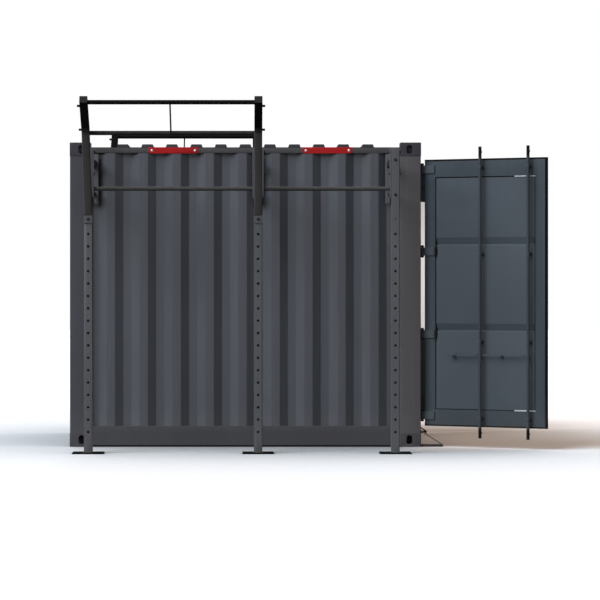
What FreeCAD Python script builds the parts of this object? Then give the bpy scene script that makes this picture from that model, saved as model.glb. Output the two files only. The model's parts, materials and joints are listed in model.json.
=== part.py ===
"""Ten-foot steel shipping container fitted out as an outdoor pull-up station.

Millimetres, +Z up.  +X points from the blind end wall to the door end, and the container's long
middle plane is Y = 0.  Every piece is first placed about the container's own middle (X = 0 halfway
along it).  The open doors reach out past the +X end, so the whole model is moved along X at the end
to bring the middle of its bounding box, on the ground, to the origin.

The rig on the -Y side and the door hung on the -Y post are modelled, and those on the +Y side are
their mirror images.
"""
import FreeCAD, Part
import math
import os

Vector = FreeCAD.Vector
X_AXIS = Vector(1, 0, 0)
Y_AXIS = Vector(0, 1, 0)
Z_AXIS = Vector(0, 0, 1)

# ---- container shell -------------------------------------------------------------------------
LENGTH = 2991.0
WIDTH = 2438.0
HEIGHT = 2591.0
HALF_L = LENGTH / 2
HALF_W = WIDTH / 2

CASTING = (178.0, 162.0, 118.0)
CASTING_WALL = 24.0
CASTING_SIDE_HOLE = (51.0, 79.5)
CASTING_TOP_HOLE = (124.5, 63.5)
CASTING_HOLE_MID = (100.0, 89.0, 60.0)      # of the side and end holes, from the outer corner
CASTING_HOLE_DEEP = 52.8

SKIN_INSET = 2.0            # post and rail faces behind the castings' faces
POST_LONG = 178.0           # along X
POST_DEEP = 101.0           # along Y
POST_WALL = 6.0
POST_LOW = CASTING[2]
POST_HIGH = HEIGHT - CASTING[2]
REBATE_X = HALF_L - 37.0    # a shut door's seal meets this step in the door post
REBATE_Y = HALF_W - 69.0    # inner side of the door post behind the hinges

RAIL_INSET = 6.0
TOP_RAIL_LOW = 2500.0
TOP_RAIL_HIGH = 2547.0
TOP_RAIL_DEEP = 60.0
TOP_RAIL_WALL = 4.0
BOTTOM_RAIL_LOW = 12.0
BOTTOM_RAIL_HIGH = 178.0
BOTTOM_RAIL_FLANGE = 50.0
BOTTOM_RAIL_WALL = 4.5
END_RAIL_DEEP = 60.0

WALL_INSET = 8.0            # outer crests behind the castings' faces
WALL_DEPTH = 36.0
WALL_SHEET = 2.0
WALL_CREST = 71.0
WALL_SLOPE = 70.0
WALL_TROUGH = 69.6
WALL_PITCH = WALL_CREST + 2 * WALL_SLOPE + WALL_TROUGH
WALL_FIRST_SLOPE = -1252.0
WALL_CRESTS = 9
END_WALL_CRESTS = 7

ROOF_SHEET = 3.0
ROOF_RIDGES = 11
ROOF_PITCH = 209.0
ROOF_RIDGE_TOP = 84.0
ROOF_RIDGE_BASE = 112.0
ROOF_RIDGE_HEIGHT = 29.0
ROOF_RIDGE_LONG = 2300.0

FLOOR_TOP = 174.0
FLOOR_THICK = 28.0
FLOOR_BOARDS = 4
FLOOR_GAP = 2.0
CROSS_MEMBERS = 10
CROSS_TALL = 122.0
CROSS_WIDE = 45.0
CROSS_WALL = 4.0
CROSS_FIRST = -1290.0
CROSS_SPAN = 2535.0         # from the first channel to the last
FLOOR_END_GAP = 4.0

HEADER_LOW = 2452.0
HEADER_DEEP = 110.0
SILL_DEEP = 120.0

SIGN = (425.0, 3.0, 53.0)
SIGN_X = (-614.0, 697.0)
SIGN_MID_Z = 2524.0
SIGN_CORNER = 14.0
SIGN_SCREW_X = 183.0
SCREW_SHANK = 4.0           # radius
SCREW_LONG = 12.0
SCREW_HEAD = 10.0           # radius
SCREW_DOME_R = 12.5         # of the sphere that the head is cut from
SIGN_HOLE_PAST = 10.0       # the screw holes' drill starts this far outside
SIGN_HOLE_LONG = 30.0

# ---- doors -----------------------------------------------------------------------------------
DOOR_OPEN = 120.5           # degrees each door stands open from shut
DOOR_FACE = HALF_L          # outer face of a shut door
HINGE_EDGE = -1144.0
DOOR_WIDE = 1136.0
DOOR_LOW = 180.0
DOOR_HIGH = 2443.0
DOOR_THICK = 28.0
STILE = 100.0
TOP_BAND = 148.0
BOTTOM_BAND = 140.0
DOOR_WALL = 4.0
PANEL_SHEET = 2.0
PANEL_SET_BACK = 4.0
RIB_MIDS = (1749.0, 1020.0)
RIB_TALL = 64.0
RIB_DEPTH = 20.0
RIB_STEP = 3.0
LINER_THICK = 4.0
LINER_LOW = 950.0
LINER_HIGH = 2145.0
LINER_GAP = 2.0             # from the seal
SEAL_LIP = 3.0
SEAL_DEEP = 8.0
SEAL_WIDE = 26.0
SEAL_LIP_FROM = 6.0         # the lip starts this far behind the door's outer face

PIN_X = HALF_L + 14.0
PIN_Y = -1160.0
PIN_R = 9.0
RUNNING = 0.08
HINGE_MIDS = (2362.0, 1663.0, 959.0, 266.0)
BLADE_TALL = 70.0
BLADE_THICK = 10.0
BLADE_REACH = 112.0
BARREL_R = 15.0
LUG_TALL = 12.0
LUG_R = 14.0
LUG_GAP = 1.0               # above and below a blade
LUG_FIT = 0.02              # a pin sits tight in its lugs
PIN_TAIL = 4.0
PIN_HEAD_R = 13.0
PIN_HEAD = 5.0

ROD_R = 13.5
ROD_OFF = 42.0              # rod axis in front of the door's outer face
ROD_U = (543.0, 989.0)      # rod axes from the door's hinge edge
ROD_LOW = 85.0
ROD_HIGH = 2545.0
CAM_MID = 2500.0
CAM_THICK = 16.0
CAM_SLOT_R = 19.5
CAM_SLOT_HALF = 4.6
CAM_R = 27.0
CAM_ARC = (165.0, 212.0)            # degrees round the rod, 180 is towards the door
CAM_SLOT_OUTER = (155.0, 194.0)
CAM_SLOT_INNER = (150.0, 200.0)
KEEPER_PIN_R = 4.0
KEEPER_PIN_BELOW = 3.0
KEEPER_GAP = 1.0                    # between a cam and the plate over it
KEEPER_FOOT = (5.0, 26.0)           # thickness, half width
KEEPER_FOOT_REACH = (24.0, 28.0)    # below and above the cam's middle
KEEPER_PLATE = (16.0, 10.0)         # half width, thickness
KEEPER_PLATE_PAST = 0.8             # past the pin
GUIDE_MIDS = (2375.0, 1640.0, 900.0, 259.0)
GUIDE_R = 16.5
GUIDE_TALL = 18.0
GUIDE_HALF_WIDE = 19.0
GUIDE_FOOT = 6.0
GUIDE_NECK_HALF = 11.0
GUIDE_BOLT_R = 4.5
GUIDE_BOLT_HEAD = 3.0
GUIDE_BOLT_OUT = 17.0       # from the rod's axis

HANDLE_Z = 788.0
HANDLE_LONG = (310.0, 412.0)
HANDLE_TALL = 13.0
HANDLE_THICK = 8.0
HANDLE_EYE_R = 9.0
HANDLE_PIN_R = 4.0
HANDLE_PIVOT = 32.0         # from the rod's axis
HANDLE_CLEAR = 0.5          # beside and under a lever
CLEVIS_WALL = 4.0
CLEVIS_HUB_WALL = 1.5
CLEVIS_HUB_TALL = 32.0
PIVOT_PAST = 3.0            # past the clevis's ears
LOCK_HOLE_R = 3.5
LOCK_HOLE_IN = 8.0
CATCH_FROM_ROD = 260.0
CATCH_FOOT_HALF = 15.0
CATCH_FOOT_THICK = 4.0
CATCH_FOOT_REACH = (26.0, 22.0)     # below and above the ledge's top
CATCH_HALF = 10.0
CATCH_LEDGE = 3.0
CATCH_OUT = 9.0             # past the rod's axis
CATCH_LIP_TALL = 8.0

# ---- ground stays ----------------------------------------------------------------------------
STAY_MID_Y = 1170.0
STAY_HALF_WIDE = 20.0
STAY_THICK = 11.0
STAY_HEAD_Z = 142.0         # where a stay meets the door post
STAY_TOE_X = 1684.0
STAY_FOOT_HALF_WIDE = 30.0
STAY_FOOT = 20.0

# ---- training rig ----------------------------------------------------------------------------
RIG_REACH = 1000.0          # front of the uprights in front of the container's side
UPRIGHT_X = (-1287.0, 104.0, 1228.0)
UPRIGHT = 70.0
UPRIGHT_WALL = 4.0
UPRIGHT_TOP = 2506.0
UPRIGHT_LID = 4.0
UPRIGHT_HOLE_R = 10.5
UPRIGHT_HOLES = 17
UPRIGHT_HOLE_LOW = 176.0
UPRIGHT_HOLE_PITCH = 101.25
BASE_PLATE = (255.0, 240.0, 10.0)
BASE_FORWARD = 20.0
BASE_HOLE_R = 7.0
BASE_HOLE_X = 100.0
BASE_HOLE_Y = 92.0

WALL_PLATE = (74.0, 16.0)
WALL_PLATE_LOW = 2071.0
WALL_PLATE_HIGH = 2490.0
BEAM = 50.0
BEAM_MID = 2405.0
BEAM_WALL = 3.0
TIE = 30.0
TIE_MID = 2150.0

BAR_R = 17.0
BAR_WALL = 3.0
BAR_MID = 2168.0
CHEEK_THICK = 11.0
CHEEK_LOW_FRONT = 2095.0
CHEEK_LOW_BACK = 2035.0
CHEEK_TOP = 2500.0
CHEEK_BOLTS = (2290.0, 2470.0)

ARM = 64.0
ARM_WALL = 4.0
ARM_FOOT = (-17.2, 1971.3)      # distance out from the uprights' fronts, height
ARM_BEND = (398.0, 2626.5)
ARM_END = (745.0, 2853.0)
ARM_PAD = (70.0, 8.0)
ARM_PAD_LOW = 1885.0
ARM_PAD_HIGH = 2085.0
ARM_PAD_BOLT = 1918.0
HIGH_BAR = (720.6, 2833.0)
LOW_BAR = (385.6, 2604.5)
ARM_BAR_R = 18.0
BRACE_ROD_R = 6.5
BRACE_ROD_X = -600.0
BRACE_END_HALF = 50.0       # half length of the bars that its ends are cut to
ARM_BOLTS = ((681.3, 2806.0), (409.3, 2630.0))
ARM_BOLT_R = 9.5
ARM_BOLT_OUT = 22.0
ARM_CAP = 4.0
ARM_CAP_PLUG = 18.0
ARM_CAP_CLEAR = 0.2
ARM_FOOT_SPARE = 120.0      # behind the uprights' fronts, cut off again
ARM_END_SPARE = 10.0
ARM_TRIM = (50.0, 300.0)    # half width and reach of what is cut off
BEAM_BOLTS = (2405.0, 2118.0)
BOLT_R = 6.0
BOLT_HEAD_R = 11.0
BOLT_HEAD = 7.0

UPRIGHT_FRONT = -(HALF_W + RIG_REACH)
UPRIGHT_BACK = UPRIGHT_FRONT + UPRIGHT
UPRIGHT_MID = (UPRIGHT_FRONT + UPRIGHT_BACK) / 2

nodes = {}


# ---- helpers ---------------------------------------------------------------------------------
def box(x0, x1, y0, y1, z0, z1):
    """A box from its lowest to its highest corner."""
    return Part.makeBox(x1 - x0, y1 - y0, z1 - z0, Vector(x0, y0, z0))


def cylinder(radius, start, direction, length):
    return Part.makeCylinder(radius, length, start, direction)


def prism(points, along):
    """Extrude the closed outline through points along a vector."""
    return Part.Face(Part.makePolygon(points + [points[0]])).extrude(along)


def union(shapes):
    """One solid from shapes that touch or overlap."""
    first = shapes[0]
    if len(shapes) > 1:
        first = first.fuse(shapes[1:])
    return first.removeSplitter()


def mirror_x(shape):
    return shape.mirror(Vector(0, 0, 0), X_AXIS)


def mirror_y(shape):
    return shape.mirror(Vector(0, 0, 0), Y_AXIS)


def mirror_z(shape, height):
    return shape.mirror(Vector(0, 0, height), Z_AXIS)


def both_sides(shapes):
    """The shapes and their mirror images across the container's middle plane."""
    return shapes + [mirror_y(shape) for shape in shapes]


def four_corners(shape):
    return both_sides([shape, mirror_x(shape)])


def stadium(long, short, centre, long_axis, out_axis, depth):
    """A round-ended hole of the given size, centred at centre and cut depth deep along out_axis."""
    radius = short / 2
    straight = long / 2 - radius
    side = out_axis.cross(long_axis)
    start = centre - out_axis * (depth / 2)
    corners = [(-straight, -radius), (straight, -radius), (straight, radius), (-straight, radius)]
    outline = [start + long_axis * a + side * b for a, b in corners]
    middle = prism(outline, out_axis * depth)
    ends = [cylinder(radius, start + long_axis * s, out_axis, depth) for s in (-straight, straight)]
    return middle.fuse(ends)


def tube(x0, x1, y0, y1, z0, z1, wall, axis):
    """A square tube, open at both ends along one of the axes 'x', 'y' or 'z'."""
    inset = {"x": (0, wall, wall), "y": (wall, 0, wall), "z": (wall, wall, 0)}[axis]
    a, b, c = inset
    return box(x0, x1, y0, y1, z0, z1).cut(box(x0 + a, x1 - a, y0 + b, y1 - b, z0 + c, z1 - c))


def bolt(start, direction, length, head_out=BOLT_HEAD, radius=BOLT_R, head_radius=BOLT_HEAD_R):
    """A six-sided bolt whose head stands on start and whose shank runs along direction."""
    other = X_AXIS if abs(direction.x) < 0.5 else Y_AXIS
    third = direction.cross(other)
    turns = [math.radians(60 * k) for k in range(6)]
    rim = [start + other * (head_radius * math.cos(t)) + third * (head_radius * math.sin(t))
           for t in turns]
    head = prism(rim, direction * -head_out)
    return union([head, cylinder(radius, start, direction, length)])


# ---- container -------------------------------------------------------------------------------
def casting():
    """Corner casting at the -X, -Y, top corner, hollow, with its three apertures."""
    long, deep, tall = CASTING
    x0, y0, z1 = -HALF_L, -HALF_W, HEIGHT
    wall = CASTING_WALL
    body = box(x0, x0 + long, y0, y0 + deep, z1 - tall, z1)
    body = body.cut(box(x0 + wall, x0 + long - wall, y0 + wall, y0 + deep - wall,
                        z1 - tall + wall, z1 - wall))
    short, high = CASTING_SIDE_HOLE
    in_x, in_y, down = CASTING_HOLE_MID
    mid_x, mid_y, mid_z = x0 + in_x, y0 + in_y, z1 - down
    side = stadium(high, short, Vector(mid_x, y0, mid_z), Z_AXIS, Y_AXIS, CASTING_HOLE_DEEP)
    end = stadium(high, short, Vector(x0, mid_y, mid_z), Z_AXIS, X_AXIS, CASTING_HOLE_DEEP)
    long_hole, wide_hole = CASTING_TOP_HOLE
    top = stadium(long_hole, wide_hole, Vector(x0 + long / 2, mid_y, z1), X_AXIS, Z_AXIS,
                  CASTING_HOLE_DEEP)
    return body.cut([side, end, top])


def castings():
    top = four_corners(casting())
    return top + [mirror_z(corner, HEIGHT / 2) for corner in top]


def corner_envelopes():
    """Full outlines of the four top castings."""
    long, deep, tall = CASTING
    corner = box(-HALF_L, -HALF_L + long, -HALF_W, -HALF_W + deep, HEIGHT - tall, HEIGHT)
    return four_corners(corner)


def end_post_envelope():
    """Full outline of a post at the blind end, -Y side."""
    x0, y0 = -HALF_L + SKIN_INSET, -HALF_W + SKIN_INSET
    return box(x0, x0 + POST_LONG, y0, y0 + POST_DEEP, POST_LOW, POST_HIGH)


def end_post():
    x0, y0 = -HALF_L + SKIN_INSET, -HALF_W + SKIN_INSET
    return tube(x0, x0 + POST_LONG, y0, y0 + POST_DEEP, POST_LOW, POST_HIGH, POST_WALL, "z")


def door_post_outline(inset):
    """L-shaped section of the -Y door post; the step behind its rear face takes the door."""
    x0 = HALF_L - SKIN_INSET - POST_LONG + inset
    x1 = HALF_L - SKIN_INSET - inset
    y0 = -HALF_W + SKIN_INSET + inset
    y1 = -HALF_W + SKIN_INSET + POST_DEEP - inset
    step_x = REBATE_X - inset
    step_y = -REBATE_Y - inset
    corners = [(x0, y0), (x1, y0), (x1, step_y), (step_x, step_y), (step_x, y1), (x0, y1)]
    return [Vector(x, y, POST_LOW) for x, y in corners]


def door_post_envelope():
    return prism(door_post_outline(0.0), Vector(0, 0, POST_HIGH - POST_LOW))


def door_post():
    inner = prism(door_post_outline(POST_WALL), Vector(0, 0, POST_HIGH - POST_LOW))
    return door_post_envelope().cut(inner)


def post_envelopes():
    return both_sides([end_post_envelope(), door_post_envelope()])


def top_side_rail():
    y0 = -HALF_W + RAIL_INSET
    half = HALF_L - CASTING[0]
    return tube(-half, half, y0, y0 + TOP_RAIL_DEEP, TOP_RAIL_LOW, TOP_RAIL_HIGH,
                TOP_RAIL_WALL, "x")


def bottom_side_rail():
    """Channel with its web outside and its flanges pointing in under the floor's edge."""
    y0 = -HALF_W + RAIL_INSET
    y1 = y0 + BOTTOM_RAIL_FLANGE
    half = HALF_L - CASTING[0]
    wall = BOTTOM_RAIL_WALL
    body = box(-half, half, y0, y1, BOTTOM_RAIL_LOW, BOTTOM_RAIL_HIGH)
    hollow = box(-half, half, y0 + wall, y1, BOTTOM_RAIL_LOW + wall, BOTTOM_RAIL_HIGH - wall)
    return body.cut(hollow).cut(post_envelopes())


def end_rails():
    """Top and bottom rails of the blind end, between its castings."""
    x0 = -HALF_L + SKIN_INSET
    half = HALF_W - CASTING[1]
    low = tube(x0, x0 + END_RAIL_DEEP, -half, half, BOTTOM_RAIL_LOW, POST_LOW, TOP_RAIL_WALL, "y")
    high = tube(x0, x0 + END_RAIL_DEEP, -half, half, POST_HIGH, TOP_RAIL_HIGH, TOP_RAIL_WALL, "y")
    return [low, high]


def corrugation(first_slope, crests, start, end):
    """(distance along, depth) pairs of a trapezoid corrugation that starts and ends in a trough."""
    line = [(start, WALL_DEPTH)]
    along = first_slope
    for _ in range(crests):
        line.append((along, WALL_DEPTH))
        line.append((along + WALL_SLOPE, 0.0))
        line.append((along + WALL_SLOPE + WALL_CREST, 0.0))
        line.append((along + 2 * WALL_SLOPE + WALL_CREST, WALL_DEPTH))
        along += WALL_PITCH
    line.append((end, WALL_DEPTH))
    return line


def side_wall():
    half = HALF_L - SKIN_INSET - POST_LONG
    crest_y = -HALF_W + WALL_INSET
    line = corrugation(WALL_FIRST_SLOPE, WALL_CRESTS, -half, half)
    front = [Vector(x, crest_y + depth, BOTTOM_RAIL_HIGH) for x, depth in line]
    back = [point + Vector(0, WALL_SHEET, 0) for point in reversed(front)]
    return prism(front + back, Vector(0, 0, TOP_RAIL_LOW - BOTTOM_RAIL_HIGH))


def end_wall():
    half = HALF_W - SKIN_INSET - POST_DEEP
    crest_x = -HALF_L + WALL_INSET
    ribbed = END_WALL_CRESTS * WALL_PITCH - WALL_TROUGH
    line = corrugation(-ribbed / 2, END_WALL_CRESTS, -half, half)
    front = [Vector(crest_x + depth, y, POST_LOW) for y, depth in line]
    back = [point + Vector(WALL_SHEET, 0, 0) for point in reversed(front)]
    return prism(front + back, Vector(0, 0, POST_HIGH - POST_LOW))


def roof_ridge(mid_x, low_z):
    """Solid of one pressed ridge: a low hipped block, made upright and laid across the roof."""
    half_top = ROOF_RIDGE_TOP / 2
    half_base = ROOF_RIDGE_BASE / 2
    lean = half_base - half_top
    half_long = ROOF_RIDGE_LONG / 2
    block = Part.makeWedge(-half_base, 0, -half_long, -half_long + lean, -half_top,
                           half_base, ROOF_RIDGE_HEIGHT, half_long, half_long - lean, half_top)
    block.rotate(Vector(0, 0, 0), X_AXIS, 90)
    block.translate(Vector(mid_x, 0, low_z))
    return block


def roof():
    low = TOP_RAIL_HIGH
    sheet = box(-HALF_L + RAIL_INSET, HALF_L - RAIL_INSET, -HALF_W + RAIL_INSET,
                HALF_W - RAIL_INSET, low, low + ROOF_SHEET)
    sheet = sheet.cut(corner_envelopes())
    mids = [(i - (ROOF_RIDGES - 1) / 2) * ROOF_PITCH for i in range(ROOF_RIDGES)]
    shell = sheet.fuse([roof_ridge(x, low + ROOF_SHEET) for x in mids])
    return shell.cut([roof_ridge(x, low) for x in mids])


def cross_members():
    """Channels that carry the floor, between the webs of the bottom side rails."""
    half = HALF_W - RAIL_INSET - BOTTOM_RAIL_WALL
    high = FLOOR_TOP - FLOOR_THICK
    low = high - CROSS_TALL
    channels = []
    for i in range(CROSS_MEMBERS):
        x0 = CROSS_FIRST + i * CROSS_SPAN / (CROSS_MEMBERS - 1)
        body = box(x0, x0 + CROSS_WIDE, -half, half, low, high)
        hollow = box(x0 + CROSS_WALL, x0 + CROSS_WIDE, -half, half,
                     low + CROSS_WALL, high - CROSS_WALL)
        channels.append(body.cut(hollow))
    return channels


def floor_boards():
    x0 = -HALF_L + WALL_INSET + WALL_DEPTH + WALL_SHEET + FLOOR_END_GAP
    x1 = HALF_L - SKIN_INSET - SILL_DEEP
    half = HALF_W - RAIL_INSET - BOTTOM_RAIL_FLANGE
    each = (x1 - x0) / FLOOR_BOARDS
    boards = []
    for i in range(FLOOR_BOARDS):
        board = box(x0 + i * each, x0 + (i + 1) * each - FLOOR_GAP, -half, half,
                    FLOOR_TOP - FLOOR_THICK, FLOOR_TOP)
        boards.append(board.cut(post_envelopes()))
    return boards


def header():
    """Beam over the doorway: a tube between the castings on a plate between the posts."""
    x0 = HALF_L - SKIN_INSET - HEADER_DEEP
    x1 = HALF_L - SKIN_INSET
    half = HALF_W - CASTING[1]
    beam = tube(x0, x1, -half, half, POST_HIGH, TOP_RAIL_HIGH, POST_WALL, "y")
    plate = box(x0, x1, -REBATE_Y, REBATE_Y, HEADER_LOW, POST_HIGH).cut(post_envelopes())
    return union([beam, plate])


def sill():
    """Threshold beam: a tube between the castings under a plate between the posts."""
    x0 = HALF_L - SKIN_INSET - SILL_DEEP
    x1 = HALF_L - SKIN_INSET
    half = HALF_W - CASTING[1]
    beam = tube(x0, x1, -half, half, BOTTOM_RAIL_LOW, POST_LOW, POST_WALL, "y")
    step = box(x0, x1, -REBATE_Y, REBATE_Y, POST_LOW, FLOOR_TOP)
    step = step.cut(box(x0 + POST_WALL, x1 - POST_WALL, -REBATE_Y, REBATE_Y,
                        POST_LOW, FLOOR_TOP - POST_WALL))
    return union([beam, step.cut(post_envelopes())])


def sign_plate(mid_x):
    """Blank name plate on the top side rail, its lower corners cut off."""
    long, thick, tall = SIGN
    y0 = -HALF_W + RAIL_INSET
    low = SIGN_MID_Z - tall / 2
    half = long / 2
    corners = [(-half, tall), (-half, SIGN_CORNER), (-half + SIGN_CORNER, 0),
               (half - SIGN_CORNER, 0), (half, SIGN_CORNER), (half, tall)]
    plate = prism([Vector(mid_x + x, y0, low + z) for x, z in corners], Vector(0, -thick, 0))
    return plate.cut(sign_screw_holes(mid_x))


def sign_screw_holes(mid_x):
    start_y = -HALF_W - SIGN_HOLE_PAST
    return [cylinder(SCREW_SHANK, Vector(mid_x + side * SIGN_SCREW_X, start_y, SIGN_MID_Z),
                     Y_AXIS, SIGN_HOLE_LONG) for side in (-1, 1)]


def sign_screws(mid_x):
    """Round-headed screws through the plate into the rail."""
    face = -HALF_W + RAIL_INSET - SIGN[1]
    sunk = math.sqrt(SCREW_DOME_R ** 2 - SCREW_HEAD ** 2)
    screws = []
    for side in (-1, 1):
        middle = Vector(mid_x + side * SIGN_SCREW_X, face, SIGN_MID_Z)
        dome = Part.makeSphere(SCREW_DOME_R, middle + Vector(0, sunk, 0))
        dome = dome.common(cylinder(SCREW_HEAD * 2, middle, Vector(0, -1, 0), SCREW_HEAD))
        screws.append(union([dome, cylinder(SCREW_SHANK, middle, Y_AXIS, SCREW_LONG)]))
    return screws


# ---- doors, modelled shut on the -Y side -----------------------------------------------------
def leaf_box(u0, u1, n0, n1, z0, z1):
    """A box on the shut door: u from its hinge edge, n outwards from its outer face."""
    return box(DOOR_FACE + n0, DOOR_FACE + n1, HINGE_EDGE + u0, HINGE_EDGE + u1, z0, z1)


def ring(u0, u1, n0, n1, z0, z1, side, low, high):
    """A rectangular frame: outer size, and the widths of its sides, bottom and top."""
    inner = leaf_box(u0 + side, u1 - side, n0, n1, z0 + low, z1 - high)
    return leaf_box(u0, u1, n0, n1, z0, z1).cut(inner)


def door_frame():
    """Pressed frame, open at the back, with stiles, head and foot."""
    body = ring(0, DOOR_WIDE, -DOOR_THICK, 0, DOOR_LOW, DOOR_HIGH, STILE, BOTTOM_BAND, TOP_BAND)
    wall = DOOR_WALL
    groove = ring(wall, DOOR_WIDE - wall, -DOOR_THICK, -wall, DOOR_LOW + wall, DOOR_HIGH - wall,
                  STILE - 2 * wall, BOTTOM_BAND - 2 * wall, TOP_BAND - 2 * wall)
    return body.cut(groove)


def door_panel():
    """Sheet between the stiles with two pressed bands: a step in, then a slope back out."""
    low = DOOR_LOW + BOTTOM_BAND
    high = DOOR_HIGH - TOP_BAND
    front = [(low, 0.0)]
    back = [(low, PANEL_SHEET)]
    for mid in sorted(RIB_MIDS):
        start, end = mid - RIB_TALL / 2, mid + RIB_TALL / 2
        front += [(start, 0.0), (start + RIB_STEP, RIB_DEPTH), (end, 0.0)]
        deep = RIB_DEPTH + PANEL_SHEET
        back += [(start - PANEL_SHEET, PANEL_SHEET), (start + RIB_STEP - PANEL_SHEET, deep),
                 (end, PANEL_SHEET)]
    front.append((high, 0.0))
    back.append((high, PANEL_SHEET))
    face = DOOR_FACE - PANEL_SET_BACK
    outline = [Vector(face - depth, HINGE_EDGE + STILE, z) for z, depth in front + back[::-1]]
    return prism(outline, Vector(0, DOOR_WIDE - 2 * STILE, 0))


def door_liner():
    """White sheet across the middle of the door's inner side."""
    inset = SEAL_WIDE + LINER_GAP
    return leaf_box(inset, DOOR_WIDE - inset, -DOOR_THICK - LINER_THICK, -DOOR_THICK,
                    LINER_LOW, LINER_HIGH)


def door_seal():
    """Rubber round the door: a strip behind the frame and a lip along its edges."""
    back = ring(-SEAL_LIP, DOOR_WIDE + SEAL_LIP, -DOOR_THICK - SEAL_DEEP, -DOOR_THICK,
                DOOR_LOW - SEAL_LIP, DOOR_HIGH + SEAL_LIP, SEAL_WIDE, SEAL_WIDE, SEAL_WIDE)
    lip = ring(-SEAL_LIP, DOOR_WIDE + SEAL_LIP, -DOOR_THICK, -SEAL_LIP_FROM,
               DOOR_LOW - SEAL_LIP, DOOR_HIGH + SEAL_LIP, SEAL_LIP, SEAL_LIP, SEAL_LIP)
    return union([back, lip])


def hinge_blade(mid_z):
    """Strap on the door's face, rolled round the hinge pin."""
    low = mid_z - BLADE_TALL / 2
    strap = box(DOOR_FACE, DOOR_FACE + BLADE_THICK, PIN_Y, PIN_Y + BLADE_REACH,
                low, low + BLADE_TALL)
    barrel = cylinder(BARREL_R, Vector(PIN_X, PIN_Y, low), Z_AXIS, BLADE_TALL)
    eye = cylinder(PIN_R + RUNNING, Vector(PIN_X, PIN_Y, low), Z_AXIS, BLADE_TALL)
    return union([strap, barrel]).cut(eye)


def hinge_lugs(mid_z):
    """Two ears on the post, above and below a blade."""
    face = HALF_L - SKIN_INSET
    lugs = []
    away = BLADE_TALL / 2 + LUG_GAP
    for low in (mid_z - away - LUG_TALL, mid_z + away):
        neck = box(face, PIN_X, PIN_Y - LUG_R, PIN_Y + LUG_R, low, low + LUG_TALL)
        ear = cylinder(LUG_R, Vector(PIN_X, PIN_Y, low), Z_AXIS, LUG_TALL)
        bore = cylinder(PIN_R + LUG_FIT, Vector(PIN_X, PIN_Y, low), Z_AXIS, LUG_TALL)
        lugs.append(union([neck, ear]).cut(bore))
    return lugs


def hinge_pin(mid_z):
    half = BLADE_TALL / 2 + LUG_GAP + LUG_TALL
    pin = cylinder(PIN_R, Vector(PIN_X, PIN_Y, mid_z - half - PIN_TAIL), Z_AXIS,
                   2 * half + PIN_TAIL)
    head = cylinder(PIN_HEAD_R, Vector(PIN_X, PIN_Y, mid_z + half), Z_AXIS, PIN_HEAD)
    return union([pin, head])


def sector(radius, arc_deg, low_z, centre):
    """A slice of a disc, as thick as a cam, about centre and between two directions."""
    start_deg, end_deg = arc_deg
    angles = [math.radians(start_deg), math.radians((start_deg + end_deg) / 2),
              math.radians(end_deg)]
    rim = [Vector(centre.x + radius * math.cos(a), centre.y + radius * math.sin(a), low_z)
           for a in angles]
    hub = Vector(centre.x, centre.y, low_z)
    arc = Part.Arc(rim[0], rim[1], rim[2]).toShape()
    wire = Part.Wire([Part.makeLine(hub, rim[0]), arc, Part.makeLine(rim[2], hub)])
    return Part.Face(wire).extrude(Vector(0, 0, CAM_THICK))


def cam(centre, mid_z):
    """Slotted cam at a rod's end; its slot is open on the side it turns away from."""
    low = mid_z - CAM_THICK / 2
    body = sector(CAM_R, CAM_ARC, low, centre)
    outer = sector(CAM_SLOT_R + CAM_SLOT_HALF, CAM_SLOT_OUTER, low, centre)
    inner = sector(CAM_SLOT_R - CAM_SLOT_HALF, CAM_SLOT_INNER, low, centre)
    return body.cut(outer.cut(inner))


def rod_centre(which):
    return Vector(DOOR_FACE + ROD_OFF, HINGE_EDGE + ROD_U[which], 0)


def keeper(which):
    """Keeper for one top cam: a foot on the header, a plate over the cam and a pin in its slot."""
    centre = rod_centre(which)
    face = HALF_L - SKIN_INSET
    plate_low = CAM_MID + CAM_THICK / 2 + KEEPER_GAP
    pin_low = CAM_MID - CAM_THICK / 2 - KEEPER_PIN_BELOW
    pin_x = centre.x - CAM_SLOT_R
    foot_thick, foot_half = KEEPER_FOOT
    below, above = KEEPER_FOOT_REACH
    plate_half, plate_thick = KEEPER_PLATE
    foot = box(face, face + foot_thick, centre.y - foot_half, centre.y + foot_half,
               CAM_MID - below, CAM_MID + above)
    plate = box(face, pin_x + KEEPER_PIN_R + KEEPER_PLATE_PAST, centre.y - plate_half,
                centre.y + plate_half, plate_low, plate_low + plate_thick)
    pin = cylinder(KEEPER_PIN_R, Vector(pin_x, centre.y, pin_low), Z_AXIS, plate_low - pin_low)
    return union([foot, plate, pin])


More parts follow.
